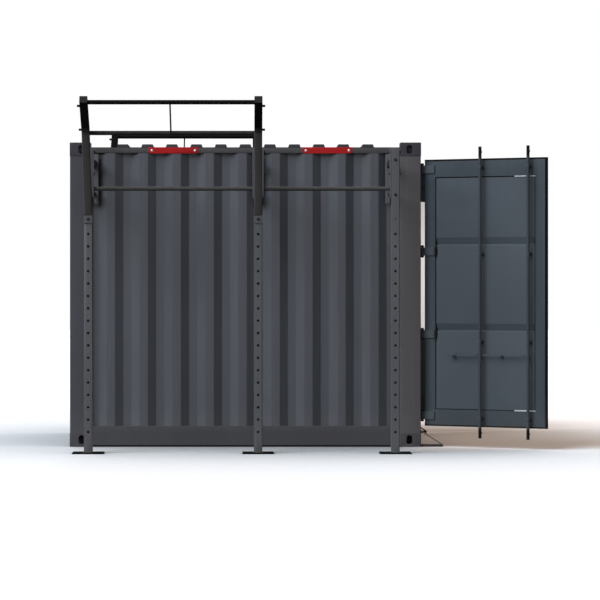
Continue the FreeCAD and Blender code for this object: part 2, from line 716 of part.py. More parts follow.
def lock_rod(which):
    """Rod with a cam at each end and the clevis that carries its handle."""
    centre = rod_centre(which)
    rod = cylinder(ROD_R, Vector(centre.x, centre.y, ROD_LOW), Z_AXIS, ROD_HIGH - ROD_LOW)
    middle = (ROD_LOW + ROD_HIGH) / 2
    top_cam = cam(centre, CAM_MID)
    gap = HANDLE_THICK / 2 + HANDLE_CLEAR
    hub = cylinder(ROD_R + CLEVIS_HUB_WALL,
                   Vector(centre.x, centre.y, HANDLE_Z - CLEVIS_HUB_TALL / 2), Z_AXIS,
                   CLEVIS_HUB_TALL)
    ears = []
    for side in (-1, 1):
        near = centre.x + side * gap
        far = centre.x + side * (gap + CLEVIS_WALL)
        ear = box(min(near, far), max(near, far), centre.y - HANDLE_PIVOT, centre.y,
                  HANDLE_Z - HANDLE_EYE_R, HANDLE_Z + HANDLE_EYE_R)
        tip = cylinder(HANDLE_EYE_R, Vector(min(near, far), centre.y - HANDLE_PIVOT, HANDLE_Z),
                       X_AXIS, CLEVIS_WALL)
        ears.append(union([ear, tip]))
    reach = gap + CLEVIS_WALL + PIVOT_PAST
    pivot = cylinder(HANDLE_PIN_R, Vector(centre.x - reach, centre.y - HANDLE_PIVOT, HANDLE_Z),
                     X_AXIS, 2 * reach)
    return union([rod, top_cam, mirror_z(top_cam, middle), hub, pivot] + ears)


def handle(which):
    """Flat lever with an eye round the clevis pivot and a grip end."""
    centre = rod_centre(which)
    y1 = centre.y - HANDLE_PIVOT
    y0 = centre.y - HANDLE_LONG[which]
    x0 = centre.x - HANDLE_THICK / 2
    x1 = centre.x + HANDLE_THICK / 2
    half = HANDLE_TALL / 2
    lever = box(x0, x1, y0, y1, HANDLE_Z - half, HANDLE_Z + half)
    end = cylinder(half, Vector(x0, y0, HANDLE_Z), X_AXIS, HANDLE_THICK)
    eye = cylinder(HANDLE_EYE_R, Vector(x0, y1, HANDLE_Z), X_AXIS, HANDLE_THICK)
    bore = cylinder(HANDLE_PIN_R + RUNNING, Vector(x0, y1, HANDLE_Z), X_AXIS, HANDLE_THICK)
    lock_hole = cylinder(LOCK_HOLE_R, Vector(x0, y0 + LOCK_HOLE_IN, HANDLE_Z), X_AXIS,
                         HANDLE_THICK)
    return union([lever, end, eye]).cut([bore, lock_hole])


def catch(which):
    """Bracket that a flat handle lies in: foot on the panel, ledge under the lever, low lip."""
    mid_u = ROD_U[which] - CATCH_FROM_ROD
    u0, u1 = mid_u - CATCH_HALF, mid_u + CATCH_HALF
    low = HANDLE_Z - HANDLE_TALL / 2 - HANDLE_CLEAR
    base = -PANEL_SET_BACK
    out = ROD_OFF + CATCH_OUT
    below, above = CATCH_FOOT_REACH
    foot = leaf_box(mid_u - CATCH_FOOT_HALF, mid_u + CATCH_FOOT_HALF, base,
                    base + CATCH_FOOT_THICK, low - below, low + above)
    ledge = leaf_box(u0, u1, base, out, low - CATCH_LEDGE, low)
    lip = leaf_box(u0, u1, out - CATCH_LEDGE, out, low - CATCH_LEDGE, low + CATCH_LIP_TALL)
    return union([foot, ledge, lip])


def guide(which, mid_z):
    """Saddle that holds a rod off the door and lets it turn."""
    centre = rod_centre(which)
    on_frame = mid_z > DOOR_HIGH - TOP_BAND or mid_z < DOOR_LOW + BOTTOM_BAND
    base = DOOR_FACE if on_frame else DOOR_FACE - PANEL_SET_BACK
    low = mid_z - GUIDE_TALL / 2
    foot = box(base, base + GUIDE_FOOT, centre.y - GUIDE_HALF_WIDE, centre.y + GUIDE_HALF_WIDE,
               low, low + GUIDE_TALL)
    neck = box(base, centre.x, centre.y - GUIDE_NECK_HALF, centre.y + GUIDE_NECK_HALF,
               low, low + GUIDE_TALL)
    eye = cylinder(GUIDE_R, Vector(centre.x, centre.y, low), Z_AXIS, GUIDE_TALL)
    bore = cylinder(ROD_R + RUNNING, Vector(centre.x, centre.y, low), Z_AXIS, GUIDE_TALL)
    bolts = [cylinder(GUIDE_BOLT_R,
                      Vector(base + GUIDE_FOOT, centre.y + side * GUIDE_BOLT_OUT, mid_z),
                      X_AXIS, GUIDE_BOLT_HEAD) for side in (-1, 1)]
    return union([foot, neck, eye] + bolts).cut(bore)


def opened(shapes):
    """Swing shapes of the shut -Y door out to where the door stands."""
    swung = []
    for shape in shapes:
        copy = shape.copy()
        copy.rotate(Vector(PIN_X, PIN_Y, 0), Z_AXIS, -DOOR_OPEN)
        swung.append(copy)
    return swung


def add_door_pair(name, shapes):
    """Store the -Y door's piece as near_NAME and its mirror image as far_NAME."""
    near = opened(shapes)
    nodes["near_" + name] = near
    nodes["far_" + name] = [mirror_y(shape) for shape in near]


# ---- ground stays, -Y side -------------------------------------------------------------------
def ground_stay():
    """Flat bar sloping from the door post down to the end of its foot."""
    face = HALF_L - SKIN_INSET
    head = Vector(face, -STAY_MID_Y - STAY_HALF_WIDE, STAY_HEAD_Z)
    toe = Vector(STAY_TOE_X, head.y, STAY_FOOT)
    along = (toe - head).normalize()
    down = Vector(along.z, 0, -along.x) * STAY_THICK
    low_head = Vector(face, head.y, STAY_HEAD_Z - STAY_THICK / along.x)
    under = toe + down
    low_toe = under - along * ((under.z - STAY_FOOT) / along.z)
    bar = prism([low_head, low_toe, toe, head], Vector(0, 2 * STAY_HALF_WIDE, 0))
    return bar.cut(bottom_corner_envelope())


def bottom_corner_envelope():
    """Full outline of the bottom casting under the -Y door post."""
    long, deep, tall = CASTING
    return box(HALF_L - long, HALF_L, -HALF_W, -HALF_W + deep, 0.0, tall)


def stay_foot():
    """Flat strip on the ground in front of a bottom corner casting."""
    return box(HALF_L, STAY_TOE_X, -STAY_MID_Y - STAY_FOOT_HALF_WIDE,
               -STAY_MID_Y + STAY_FOOT_HALF_WIDE, 0.0, STAY_FOOT)


# ---- training rig, -Y side -------------------------------------------------------------------
def upright(mid_x):
    """Square tube with a row of holes through its front and back."""
    half = UPRIGHT / 2
    lid_low = UPRIGHT_TOP - UPRIGHT_LID
    post = tube(mid_x - half, mid_x + half, UPRIGHT_FRONT, UPRIGHT_BACK, BASE_PLATE[2],
                lid_low, UPRIGHT_WALL, "z")
    lid = box(mid_x - half, mid_x + half, UPRIGHT_FRONT, UPRIGHT_BACK, lid_low, UPRIGHT_TOP)
    holes = [cylinder(UPRIGHT_HOLE_R, Vector(mid_x, UPRIGHT_FRONT,
                                             UPRIGHT_HOLE_LOW + k * UPRIGHT_HOLE_PITCH),
                      Y_AXIS, UPRIGHT) for k in range(UPRIGHT_HOLES)]
    drilled = [cylinder(BOLT_R, Vector(mid_x, UPRIGHT_FRONT, z), Y_AXIS, UPRIGHT_WALL)
               for z in BEAM_BOLTS + (ARM_PAD_BOLT,)]
    crossed = [cylinder(BOLT_R, Vector(mid_x - half, UPRIGHT_MID, z), X_AXIS, UPRIGHT)
               for z in CHEEK_BOLTS]
    return union([post, lid]).cut(holes + drilled + crossed)


def base_plate(mid_x):
    long, deep, thick = BASE_PLATE
    mid_y = UPRIGHT_MID - BASE_FORWARD
    plate = box(mid_x - long / 2, mid_x + long / 2, mid_y - deep / 2, mid_y + deep / 2, 0, thick)
    holes = [cylinder(BASE_HOLE_R, Vector(mid_x + sx * BASE_HOLE_X, mid_y + sy * BASE_HOLE_Y, 0),
                      Z_AXIS, thick) for sx in (-1, 1) for sy in (-1, 1)]
    return plate.cut(holes)


def wall_plate(mid_x):
    """Pad between the container's side and a stand-off, notched round the corner post."""
    wide, thick = WALL_PLATE
    y1 = -HALF_W + WALL_INSET
    plate = box(mid_x - wide / 2, mid_x + wide / 2, y1 - thick, y1, WALL_PLATE_LOW, WALL_PLATE_HIGH)
    return plate.cut(post_envelopes() + corner_envelopes())


def stand_off(mid_x):
    """Beam from the wall pad to the upright's back."""
    y1 = -HALF_W + WALL_INSET - WALL_PLATE[1]
    half = BEAM / 2
    return tube(mid_x - half, mid_x + half, UPRIGHT_BACK, y1, BEAM_MID - half, BEAM_MID + half,
                BEAM_WALL, "y")


def wall_tie(mid_x):
    y1 = -HALF_W + WALL_INSET - WALL_PLATE[1]
    half = TIE / 2
    return tube(mid_x - half, mid_x + half, UPRIGHT_BACK, y1, TIE_MID - half, TIE_MID + half,
                BEAM_WALL, "y")


def cheek(inner_x, side):
    """Bracket plate on an upright's side, facing a bar; side is the way it grows."""
    outline = [Vector(inner_x, UPRIGHT_FRONT, CHEEK_LOW_FRONT),
               Vector(inner_x, UPRIGHT_BACK, CHEEK_LOW_BACK),
               Vector(inner_x, UPRIGHT_BACK, CHEEK_TOP),
               Vector(inner_x, UPRIGHT_FRONT, CHEEK_TOP)]
    plate = prism(outline, Vector(side * CHEEK_THICK, 0, 0))
    start = min(inner_x, inner_x + side * CHEEK_THICK)
    holes = [cylinder(BOLT_R, Vector(start, UPRIGHT_MID, z), X_AXIS, CHEEK_THICK)
             for z in CHEEK_BOLTS]
    return plate.cut(holes)


def round_bar(x0, x1, out, height, radius=BAR_R, wall=BAR_WALL):
    """A horizontal round tube along X, out from the uprights' fronts (negative is behind them)."""
    start = Vector(x0, UPRIGHT_FRONT - out, height)
    return cylinder(radius, start, X_AXIS, x1 - x0).cut(
        cylinder(radius - wall, start, X_AXIS, x1 - x0))


def arm_outline(half_thick, extra):
    """Side view of an arm: its bent middle line, thickened and lengthened at both ends."""
    foot, bend, end = [Vector(0, UPRIGHT_FRONT - out, z) for out, z in (ARM_FOOT, ARM_BEND, ARM_END)]
    lower = (bend - foot).normalize()
    upper = (end - bend).normalize()
    foot = foot - lower * ARM_FOOT_SPARE
    end = end + upper * extra
    normals = [X_AXIS.cross(lower), X_AXIS.cross(upper)]
    mitre = (normals[0] + normals[1]).normalize()
    reach = half_thick / mitre.dot(normals[0])
    one = [foot + normals[0] * half_thick, bend + mitre * reach, end + normals[1] * half_thick]
    two = [foot - normals[0] * half_thick, bend - mitre * reach, end - normals[1] * half_thick]
    return one + two[::-1]


def arm(mid_x):
    """Bent square tube that rises from an upright's front and carries the high bars."""
    half = ARM / 2
    outer = prism([p + Vector(mid_x - half, 0, 0) for p in arm_outline(half, 0.0)],
                  Vector(ARM, 0, 0))
    inner_half = half - ARM_WALL
    inner = prism([p + Vector(mid_x - inner_half, 0, 0) for p in arm_outline(inner_half, ARM_END_SPARE)],
                  Vector(2 * inner_half, 0, 0))
    wide, reach = ARM_TRIM
    behind = box(mid_x - wide, mid_x + wide, UPRIGHT_FRONT - ARM_PAD[1], UPRIGHT_FRONT + reach,
                 ARM_PAD_LOW - reach, ARM_PAD_HIGH + reach)
    return outer.cut([inner, behind])


def arm_pad(mid_x):
    """Foot plate that fastens an arm to its upright."""
    half = ARM_PAD[0] / 2
    plate = box(mid_x - half, mid_x + half, UPRIGHT_FRONT - ARM_PAD[1], UPRIGHT_FRONT,
                ARM_PAD_LOW, ARM_PAD_HIGH)
    return plate.cut(cylinder(BOLT_R, Vector(mid_x, UPRIGHT_FRONT - ARM_PAD[1], ARM_PAD_BOLT),
                              Y_AXIS, ARM_PAD[1]))


def arm_cap(mid_x):
    """Plug in the open end of an arm."""
    bend, end = [Vector(0, UPRIGHT_FRONT - out, z) for out, z in (ARM_BEND, ARM_END)]
    upper = (end - bend).normalize()
    normal = X_AXIS.cross(upper)
    shapes = []
    plug_half = ARM / 2 - ARM_WALL - ARM_CAP_CLEAR
    for half, start, length in ((ARM / 2, 0.0, ARM_CAP), (plug_half, -ARM_CAP_PLUG, ARM_CAP_PLUG)):
        base = end + upper * start
        corners = [base + normal * half, base - normal * half]
        outline = [corners[0] + X_AXIS * (mid_x - half), corners[1] + X_AXIS * (mid_x - half),
                   corners[1] + X_AXIS * (mid_x + half), corners[0] + X_AXIS * (mid_x + half)]
        shapes.append(prism(outline, upper * length))
    return union(shapes)


def brace_rod():
    """Thin rod that ties the high bar to the low bar at mid span."""
    high = Vector(BRACE_ROD_X, UPRIGHT_FRONT - HIGH_BAR[0], HIGH_BAR[1])
    low = Vector(BRACE_ROD_X, UPRIGHT_FRONT - LOW_BAR[0], LOW_BAR[1])
    span = low - high
    rod = cylinder(BRACE_ROD_R, high, span, span.Length)
    ends = [cylinder(ARM_BAR_R, Vector(BRACE_ROD_X - BRACE_END_HALF, p.y, p.z), X_AXIS,
                     2 * BRACE_END_HALF) for p in (high, low)]
    return rod.cut(ends)


def arm_bolts(mid_x, side):
    """Stub bolts on the outer side of an arm, beside its two bars."""
    face = mid_x + side * ARM / 2
    out = Vector(side, 0, 0)
    return [cylinder(ARM_BOLT_R, Vector(face, UPRIGHT_FRONT - o, z), out, ARM_BOLT_OUT)
            for o, z in ARM_BOLTS]


def bars_and_cheeks():
    """Pull-up bars in both bays, and the plates that hold them."""
    left, middle, right = UPRIGHT_X
    half = UPRIGHT / 2
    plates = [cheek(left + half, 1), cheek(middle - half, -1), cheek(middle + half, 1),
              cheek(right - half, -1)]
    step = half + CHEEK_THICK
    bars = [round_bar(left + step, middle - step, -UPRIGHT / 2, BAR_MID),
            round_bar(middle + step, right - step, -UPRIGHT / 2, BAR_MID)]
    return bars, plates


def rig_bolts():
    """Bolts of the stand-offs, the arm pads and the bar brackets."""
    bolts = []
    half = UPRIGHT / 2
    for mid_x in UPRIGHT_X:
        for z in BEAM_BOLTS:
            bolts.append(bolt(Vector(mid_x, UPRIGHT_FRONT, z), Y_AXIS, UPRIGHT_WALL))
    for mid_x in UPRIGHT_X[:2]:
        face = UPRIGHT_FRONT - ARM_PAD[1]
        bolts.append(bolt(Vector(mid_x, face, ARM_PAD_BOLT), Y_AXIS, ARM_PAD[1] + UPRIGHT_WALL))
    left, middle, right = UPRIGHT_X
    for z in CHEEK_BOLTS:
        start = Vector(left + half + CHEEK_THICK, UPRIGHT_MID, z)
        bolts.append(bolt(start, Vector(-1, 0, 0), CHEEK_THICK + UPRIGHT))
        start = Vector(middle - half - CHEEK_THICK, UPRIGHT_MID, z)
        bolts.append(bolt(start, X_AXIS, 2 * CHEEK_THICK + UPRIGHT))
        start = Vector(right - half - CHEEK_THICK, UPRIGHT_MID, z)
        bolts.append(bolt(start, X_AXIS, CHEEK_THICK + UPRIGHT))
    return bolts


# ---- assembly --------------------------------------------------------------------------------
def build_container():
    nodes["corner_castings"] = castings()
    nodes["end_posts"] = both_sides([end_post()])
    nodes["door_posts"] = both_sides([door_post()])
    sign_holes = []
    for x in SIGN_X:
        sign_holes += sign_screw_holes(x)
    nodes["top_side_rails"] = both_sides([top_side_rail().cut(sign_holes)])
    nodes["bottom_side_rails"] = both_sides([bottom_side_rail()])
    nodes["end_rails"] = end_rails()
    nodes["door_header"] = [header()]
    nodes["door_sill"] = [sill()]
    nodes["side_walls"] = both_sides([side_wall()])
    nodes["end_wall"] = [end_wall()]
    nodes["roof_panel"] = [roof()]
    nodes["cross_members"] = cross_members()
    nodes["floor_boards"] = floor_boards()
    nodes["sign_plates"] = both_sides([sign_plate(x) for x in SIGN_X])
    screws = []
    for x in SIGN_X:
        screws += sign_screws(x)
    nodes["sign_screws"] = both_sides(screws)


def build_doors():
    lugs = []
    blades = []
    for z in HINGE_MIDS:
        lugs += hinge_lugs(z)
        blades.append(hinge_blade(z))
    nodes["hinge_lugs"] = both_sides(lugs)
    nodes["hinge_pins"] = both_sides([hinge_pin(z) for z in HINGE_MIDS])
    top_keepers = [keeper(0), keeper(1)]
    middle = (ROD_LOW + ROD_HIGH) / 2
    nodes["lock_keepers"] = both_sides(top_keepers + [mirror_z(k, middle) for k in top_keepers])
    add_door_pair("door_frame", [door_frame()])
    add_door_pair("door_panel", [door_panel()])
    add_door_pair("door_liner", [door_liner()])
    add_door_pair("door_seal", [door_seal()])
    add_door_pair("hinge_blades", blades)
    add_door_pair("rod_guides", [guide(i, z) for i in range(2) for z in GUIDE_MIDS])
    add_door_pair("handle_catches", [catch(0), catch(1)])
    for i, place in enumerate(("inner", "outer")):
        add_door_pair(place + "_lock_rod", [lock_rod(i)])
        add_door_pair(place + "_handle", [handle(i)])


def build_stays():
    nodes["ground_stays"] = both_sides([ground_stay()])
    nodes["stay_feet"] = both_sides([stay_foot()])


def build_rig():
    bars, plates = bars_and_cheeks()
    left, middle = UPRIGHT_X[:2]
    nodes["uprights"] = both_sides([upright(x) for x in UPRIGHT_X])
    nodes["arms"] = both_sides([arm(left), arm(middle)])
    start, end = left + ARM / 2, middle - ARM / 2
    nodes["base_plates"] = both_sides([base_plate(x) for x in UPRIGHT_X])
    nodes["wall_plates"] = both_sides([wall_plate(x) for x in UPRIGHT_X])
    nodes["stand_off_beams"] = both_sides([stand_off(x) for x in UPRIGHT_X])
    nodes["wall_ties"] = both_sides([wall_tie(x) for x in UPRIGHT_X])
    nodes["pull_up_bars"] = both_sides(bars)
    nodes["bar_brackets"] = both_sides(plates)
    nodes["arm_pads"] = both_sides([arm_pad(left), arm_pad(middle)])
    nodes["arm_caps"] = both_sides([arm_cap(left), arm_cap(middle)])
    nodes["high_bars"] = both_sides([round_bar(start, end, *HIGH_BAR, ARM_BAR_R)])
    nodes["low_bars"] = both_sides([round_bar(start, end, *LOW_BAR, ARM_BAR_R)])
    nodes["brace_rods"] = both_sides([brace_rod()])
    nodes["arm_bolts"] = both_sides(arm_bolts(left, -1) + arm_bolts(middle, 1))
    nodes["rig_bolts"] = both_sides(rig_bolts())


def export():
    boxes = [shape.BoundBox for shapes in nodes.values() for shape in shapes]
    low = min(b.XMin for b in boxes)
    high = max(b.XMax for b in boxes)
    shift = Vector(-(low + high) / 2, 0, 0)
    os.makedirs("parts", exist_ok=True)
    solids = 0
    for name, shapes in nodes.items():
        placed = []
        for shape in shapes:
            for solid in shape.Solids:
                moved = solid.copy()
                moved.translate(shift)
                placed.append(moved)
        solids += len(placed)
        whole = placed[0] if len(placed) == 1 else Part.makeCompound(placed)
        whole.exportStep("parts/" + name + ".step")
    print("nodes", len(nodes), "solids", solids, "shift", round(shift.x, 4))


build_container()
build_doors()
build_stays()
build_rig()
export()
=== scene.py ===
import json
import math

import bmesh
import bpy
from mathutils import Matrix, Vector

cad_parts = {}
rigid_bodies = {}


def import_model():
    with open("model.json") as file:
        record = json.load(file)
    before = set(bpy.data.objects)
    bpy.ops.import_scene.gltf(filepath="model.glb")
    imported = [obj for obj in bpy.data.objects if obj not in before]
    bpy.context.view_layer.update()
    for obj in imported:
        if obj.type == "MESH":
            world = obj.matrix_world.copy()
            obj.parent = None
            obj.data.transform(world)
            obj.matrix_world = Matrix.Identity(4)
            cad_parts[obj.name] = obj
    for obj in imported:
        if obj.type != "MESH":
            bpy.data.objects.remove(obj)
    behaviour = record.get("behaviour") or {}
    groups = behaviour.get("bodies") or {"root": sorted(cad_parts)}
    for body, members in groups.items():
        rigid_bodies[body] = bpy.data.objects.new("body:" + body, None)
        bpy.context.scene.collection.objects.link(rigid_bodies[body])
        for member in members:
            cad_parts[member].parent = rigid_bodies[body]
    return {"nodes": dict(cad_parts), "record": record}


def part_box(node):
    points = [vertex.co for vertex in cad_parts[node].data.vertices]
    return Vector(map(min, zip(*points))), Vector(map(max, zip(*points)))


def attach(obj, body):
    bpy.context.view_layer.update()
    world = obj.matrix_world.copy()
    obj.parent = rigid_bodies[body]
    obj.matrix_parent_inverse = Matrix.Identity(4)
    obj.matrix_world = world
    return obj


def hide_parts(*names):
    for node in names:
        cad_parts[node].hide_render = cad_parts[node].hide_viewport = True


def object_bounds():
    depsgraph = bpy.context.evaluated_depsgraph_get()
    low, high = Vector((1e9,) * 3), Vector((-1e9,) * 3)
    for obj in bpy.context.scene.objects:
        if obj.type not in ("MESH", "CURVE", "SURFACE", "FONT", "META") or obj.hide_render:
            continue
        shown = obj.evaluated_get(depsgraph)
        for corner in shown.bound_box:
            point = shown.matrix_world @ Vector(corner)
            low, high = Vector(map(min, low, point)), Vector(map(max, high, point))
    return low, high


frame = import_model()

# %% [markdown]
# # A steel container fitted out as a pull-up station
#
# The object is a ten-foot shipping container of painted steel.  Two doors stand open at its right
# end, and each long side carries a frame of square tubes with bars to hang from.  The CAD model
# is the fixed frame: it says where every piece is and what it moves with.  This lesson dresses
# it.  Sheets are folded again with rounded bends, tubes get the rounded corners of rolled
# section, welds run where pieces are joined, and every surface gets a paint, rubber, wood or
# plastic that nodes work out, so no picture is needed.

cad_low, cad_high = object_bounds()
nodes = frame["nodes"]
record = frame["record"]
casting_low, casting_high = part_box("corner_castings")
MID_X = (casting_low.x + casting_high.x) / 2
HALF_LONG = (casting_high.x - casting_low.x) / 2
HALF_WIDE = casting_high.y
body_of = {node: body for body, held in record["behaviour"]["bodies"].items() for node in held}
print("container", [round(v, 3) for v in casting_high - casting_low])
print("its middle stands at x", round(MID_X, 3))

# %% [markdown]
# ## Camera
#
# A long lens from far off keeps the container's upright lines upright.  The camera looks level at
# about chest height, straight at the long side, and the lens is shifted instead of turned, because
# turning it would make the posts lean.

# %% Camera
EYE_HEIGHT = 1.42
EYE_DISTANCE = 26.0
camera_data = bpy.data.cameras.new("camera")
camera_data.lens = 183.3
camera_data.sensor_width = 36.0
camera_data.shift_x = 0.091
camera_data.shift_y = -0.0333
camera_data.clip_end = 300.0
camera = bpy.data.objects.new("camera", camera_data)
camera.location = (MID_X, -HALF_WIDE - EYE_DISTANCE, EYE_HEIGHT)
camera.rotation_euler = (math.radians(90), 0, 0)
stage = bpy.context.scene.collection.objects
stage.link(camera)
bpy.context.scene.camera = camera
bpy.context.scene.view_settings.view_transform = "Standard"
print("camera at", [round(v, 2) for v in camera.location])

# %% [markdown]
# ## Wiring nodes
#
# Every material below is a small net of nodes.  Writing each one by hand takes three lines per
# node, so helpers do it.  `wire` adds a node and fills or links its sockets in one call.  `calc`,
# `dot`, `remap` and `blend` add the nodes used most and give back their output.

# %% Wiring helpers
def fill(tree, node, inputs):
    """Link or set a node's sockets."""
    for key, value in inputs.items():
        if isinstance(value, bpy.types.NodeSocket):
            tree.links.new(value, node.inputs[key])
        else:
            node.inputs[key].default_value = value
    return node


def wire(tree, kind, inputs=None, **settings):
    """Add a shader node, set its settings, and fill its sockets."""
    node = tree.nodes.new("ShaderNode" + kind)
    for key, value in settings.items():
        setattr(node, key, value)
    return fill(tree, node, inputs or {})


def calc(tree, operation, *values, **settings):
    """One sum; its result."""
    return wire(tree, "Math", dict(enumerate(values)), operation=operation, **settings).outputs[0]


def dot(tree, one, other):
    """How far two directions agree."""
    node = wire(tree, "VectorMath", {0: one, 1: other}, operation="DOT_PRODUCT")
    return node.outputs["Value"]


def remap(tree, value, low, high, to_low=0.0, to_high=1.0, **settings):
    """Stretch the range from low to high onto another, and stop at its ends."""
    sockets = {"Value": value, "From Min": low, "From Max": high, "To Min": to_low,
               "To Max": to_high}
    return wire(tree, "MapRange", sockets, **settings).outputs[0]


def blend(tree, factor, colour, other):
    """Mix two colours."""
    node = wire(tree, "Mix", {"Factor": factor, 6: colour, 7: other}, data_type="RGBA")
    return node.outputs[2]


print("wiring helpers ready")

# %% [markdown]
# Paint clouds, wood grain and grime are all noise of one size or another.  Noise worked out from
# the object's own place fits a wall three metres long and a screw alike, and never repeats.
# Stretching that place first turns round spots into threads or grain.

# %% Patterns
EVEN = (1.0, 1.0, 1.0)


def own_place(tree):
    """The object's own coordinates."""
    return wire(tree, "TexCoord").outputs["Object"]


def mapped(tree, stretch):
    """The object's own coordinates, stretched."""
    return wire(tree, "Mapping", {"Vector": own_place(tree), "Scale": stretch}).outputs[0]


def noise(tree, stretch, scale, detail, **more):
    """Noise in stretched coordinates."""
    sockets = {"Vector": mapped(tree, stretch), "Scale": scale, "Detail": detail, **more}
    return wire(tree, "TexNoise", sockets).outputs["Fac"]


def bumped(tree, shader, height, strength, distance):
    """Bend a shader's normal by a height."""
    bump = wire(tree, "Bump", {"Strength": strength, "Distance": distance, "Height": height})
    tree.links.new(bump.outputs[0], shader.inputs["Normal"])


print("a pattern that isn't stretched uses", EVEN)

# %% [markdown]
# An effect such as rain marks is in many materials with different amounts.  Copies of its nodes
# would soon differ, so each effect is one node group with named sockets.  `new_group` opens a
# group, and `use` places it in a material by its name.

# %% Groups and materials
MASK = [("Mask", "Float", None)]


def new_group(name, inputs, outputs):
    """A node group with named sockets; returns it, its inputs and where its results go."""
    tree = bpy.data.node_groups.new(name, "ShaderNodeTree")
    for direction, sockets in (("INPUT", inputs), ("OUTPUT", outputs)):
        for label, kind, default in sockets:
            socket = tree.interface.new_socket(label, in_out=direction,
                                               socket_type="NodeSocket" + kind)
            if direction == "INPUT":
                socket.default_value = default
    enter, leave = tree.nodes.new("NodeGroupInput"), tree.nodes.new("NodeGroupOutput")
    return tree, enter.outputs, leave


def use(tree, group, **inputs):
    """Place a group in a material; its results."""
    node = tree.nodes.new("ShaderNodeGroup")
    node.node_tree = bpy.data.node_groups[group]
    return fill(tree, node, inputs).outputs


def new_material(name):
    """An empty material, its net and its shader."""
    material = bpy.data.materials.new(name)
    material.use_nodes = True
    return material, material.node_tree, material.node_tree.nodes["Principled BSDF"]


print("most groups put out one", MASK[0][0])

# %% [markdown]
# ## Uneven coat
#
# Paint rolled or sprayed over metres of steel is never one even tone.  Broad soft clouds come from
# where the gun passed twice, and a finer mottle from the steel under it.  Two noises of different
# size, multiplied into the colour, give both.  The same clouds also shift the gloss a little.

# %% Group: uneven coat
CLOUD_SHARE, MOTTLE_SHARE = 0.65, 0.35
DARKEST, LIGHTEST = 0.36, 0.64      # how far the two noises together really swing
GLOSS_SWING = 0.06
net, given, leave = new_group(
    "uneven coat",
    [("Colour", "Color", (0.1, 0.1, 0.1, 1)), ("Amount", "Float", 0.1)],
    [("Colour", "Color", None), ("Gloss shift", "Float", None)])
clouds = noise(net, (1.3, 1.3, 0.8), 1.6, 3.0, Roughness=0.55)
mottle = noise(net, EVEN, 38.0, 5.0, Roughness=0.65)
both = calc(net, "MULTIPLY", clouds, CLOUD_SHARE)
both = calc(net, "MULTIPLY_ADD", mottle, MOTTLE_SHARE, both)
swing = remap(net, both, DARKEST, LIGHTEST, -1.0, 1.0)
tone = calc(net, "MULTIPLY_ADD", swing, given["Amount"], 1.0)
tinted = wire(net, "VectorMath", {0: given["Colour"], "Scale": tone}, operation="SCALE")
shift = calc(net, "MULTIPLY", swing, GLOSS_SWING)
fill(net, leave, {"Colour": tinted.outputs[0], "Gloss shift": shift})
print("group:", net.name)

# %% [markdown]
# ## Rain marks
#
# Water runs down a wall in narrow threads and leaves faint lighter lines of dried dirt.  Noise
# squeezed in the flat directions and stretched upwards makes such threads.  Only its highest parts
# are kept, so most of the wall stays clean.

# %% Group: rain marks
THREAD_FROM, THREAD_FULL = 0.53, 0.78
net, given, leave = new_group("rain marks", [("Amount", "Float", 0.2)], MASK)
threads = noise(net, (24.0, 24.0, 0.9), 1.0, 5.0, Roughness=0.6)
kept = remap(net, threads, THREAD_FROM, THREAD_FULL)
fill(net, leave, {"Mask": calc(net, "MULTIPLY", kept, given["Amount"])})
print("group:", net.name)

# %% [markdown]
# ## Ground dust
#
# Everything that stands outdoors is paler and duller near the ground, where rain splashes dust
# back up.  The object's own height drives the mask, and noise breaks its upper edge.

# %% Group: ground dust
net, given, leave = new_group(
    "ground dust", [("Height", "Float", 0.3), ("Amount", "Float", 0.3)], MASK)
height = wire(net, "SeparateXYZ", {0: own_place(net)}).outputs["Z"]
splash = noise(net, (1.0, 1.0, 0.4), 14.0, 4.0)
fade = remap(net, height, 0.0, given["Height"], 1.0, 0.0)
broken = calc(net, "MULTIPLY", fade, splash)
fill(net, leave, {"Mask": calc(net, "MULTIPLY", broken, given["Amount"])})
print("group:", net.name)

# %% [markdown]
# ## Rubbed edges
#
# Paint lies thinnest on an outside corner, so corners are rubbed lighter first.  The Bevel node
# gives the normal the surface would have if its edges were rounder.  Where that differs from the
# true normal there is an edge, and noise lets only some stretches of it show.

# %% Group: rubbed edges
EDGE_FROM, EDGE_FULL = 0.98, 0.80
PATCH_FROM, PATCH_FULL = 0.48, 0.60
net, given, leave = new_group(
    "rubbed edges", [("Reach", "Float", 0.004), ("Amount", "Float", 0.3)], MASK)
rounder = wire(net, "Bevel", {"Radius": given["Reach"]}, samples=4)
true = wire(net, "NewGeometry").outputs["Normal"]
match = dot(net, rounder.outputs[0], true)
edge = remap(net, match, EDGE_FROM, EDGE_FULL)
patches = noise(net, EVEN, 26.0, 6.0, Roughness=0.7)
some = remap(net, patches, PATCH_FROM, PATCH_FULL)
rubbed = calc(net, "MULTIPLY", edge, some)
fill(net, leave, {"Mask": calc(net, "MULTIPLY", rubbed, given["Amount"])})
print("group:", net.name)

# %% [markdown]
# ## Sprayed skin
#
# Sprayed paint dries with a fine pebbled skin, and thin sheet under it is never quite flat.  The
# group puts out one height for both: tiny cells for the skin, and a slow swell for the sheet.

# %% Group: sprayed skin
PEBBLES = 420.0             # to the metre
net, given, leave = new_group(
    "sprayed skin", [("Swell", "Float", 1.0), ("Pebble", "Float", 0.15)],
    [("Height", "Float", None)])
swell = noise(net, (1.0, 1.0, 0.5), 3.4, 1.0)
pebble = wire(net, "TexVoronoi",
              {"Vector": mapped(net, EVEN), "Scale": PEBBLES},
              feature="SMOOTH_F1").outputs["Distance"]
slow = calc(net, "MULTIPLY", swell, given["Swell"])
total = calc(net, "MULTIPLY_ADD", pebble, given["Pebble"], slow)
fill(net, leave, {"Height": total})
print("group:", net.name)

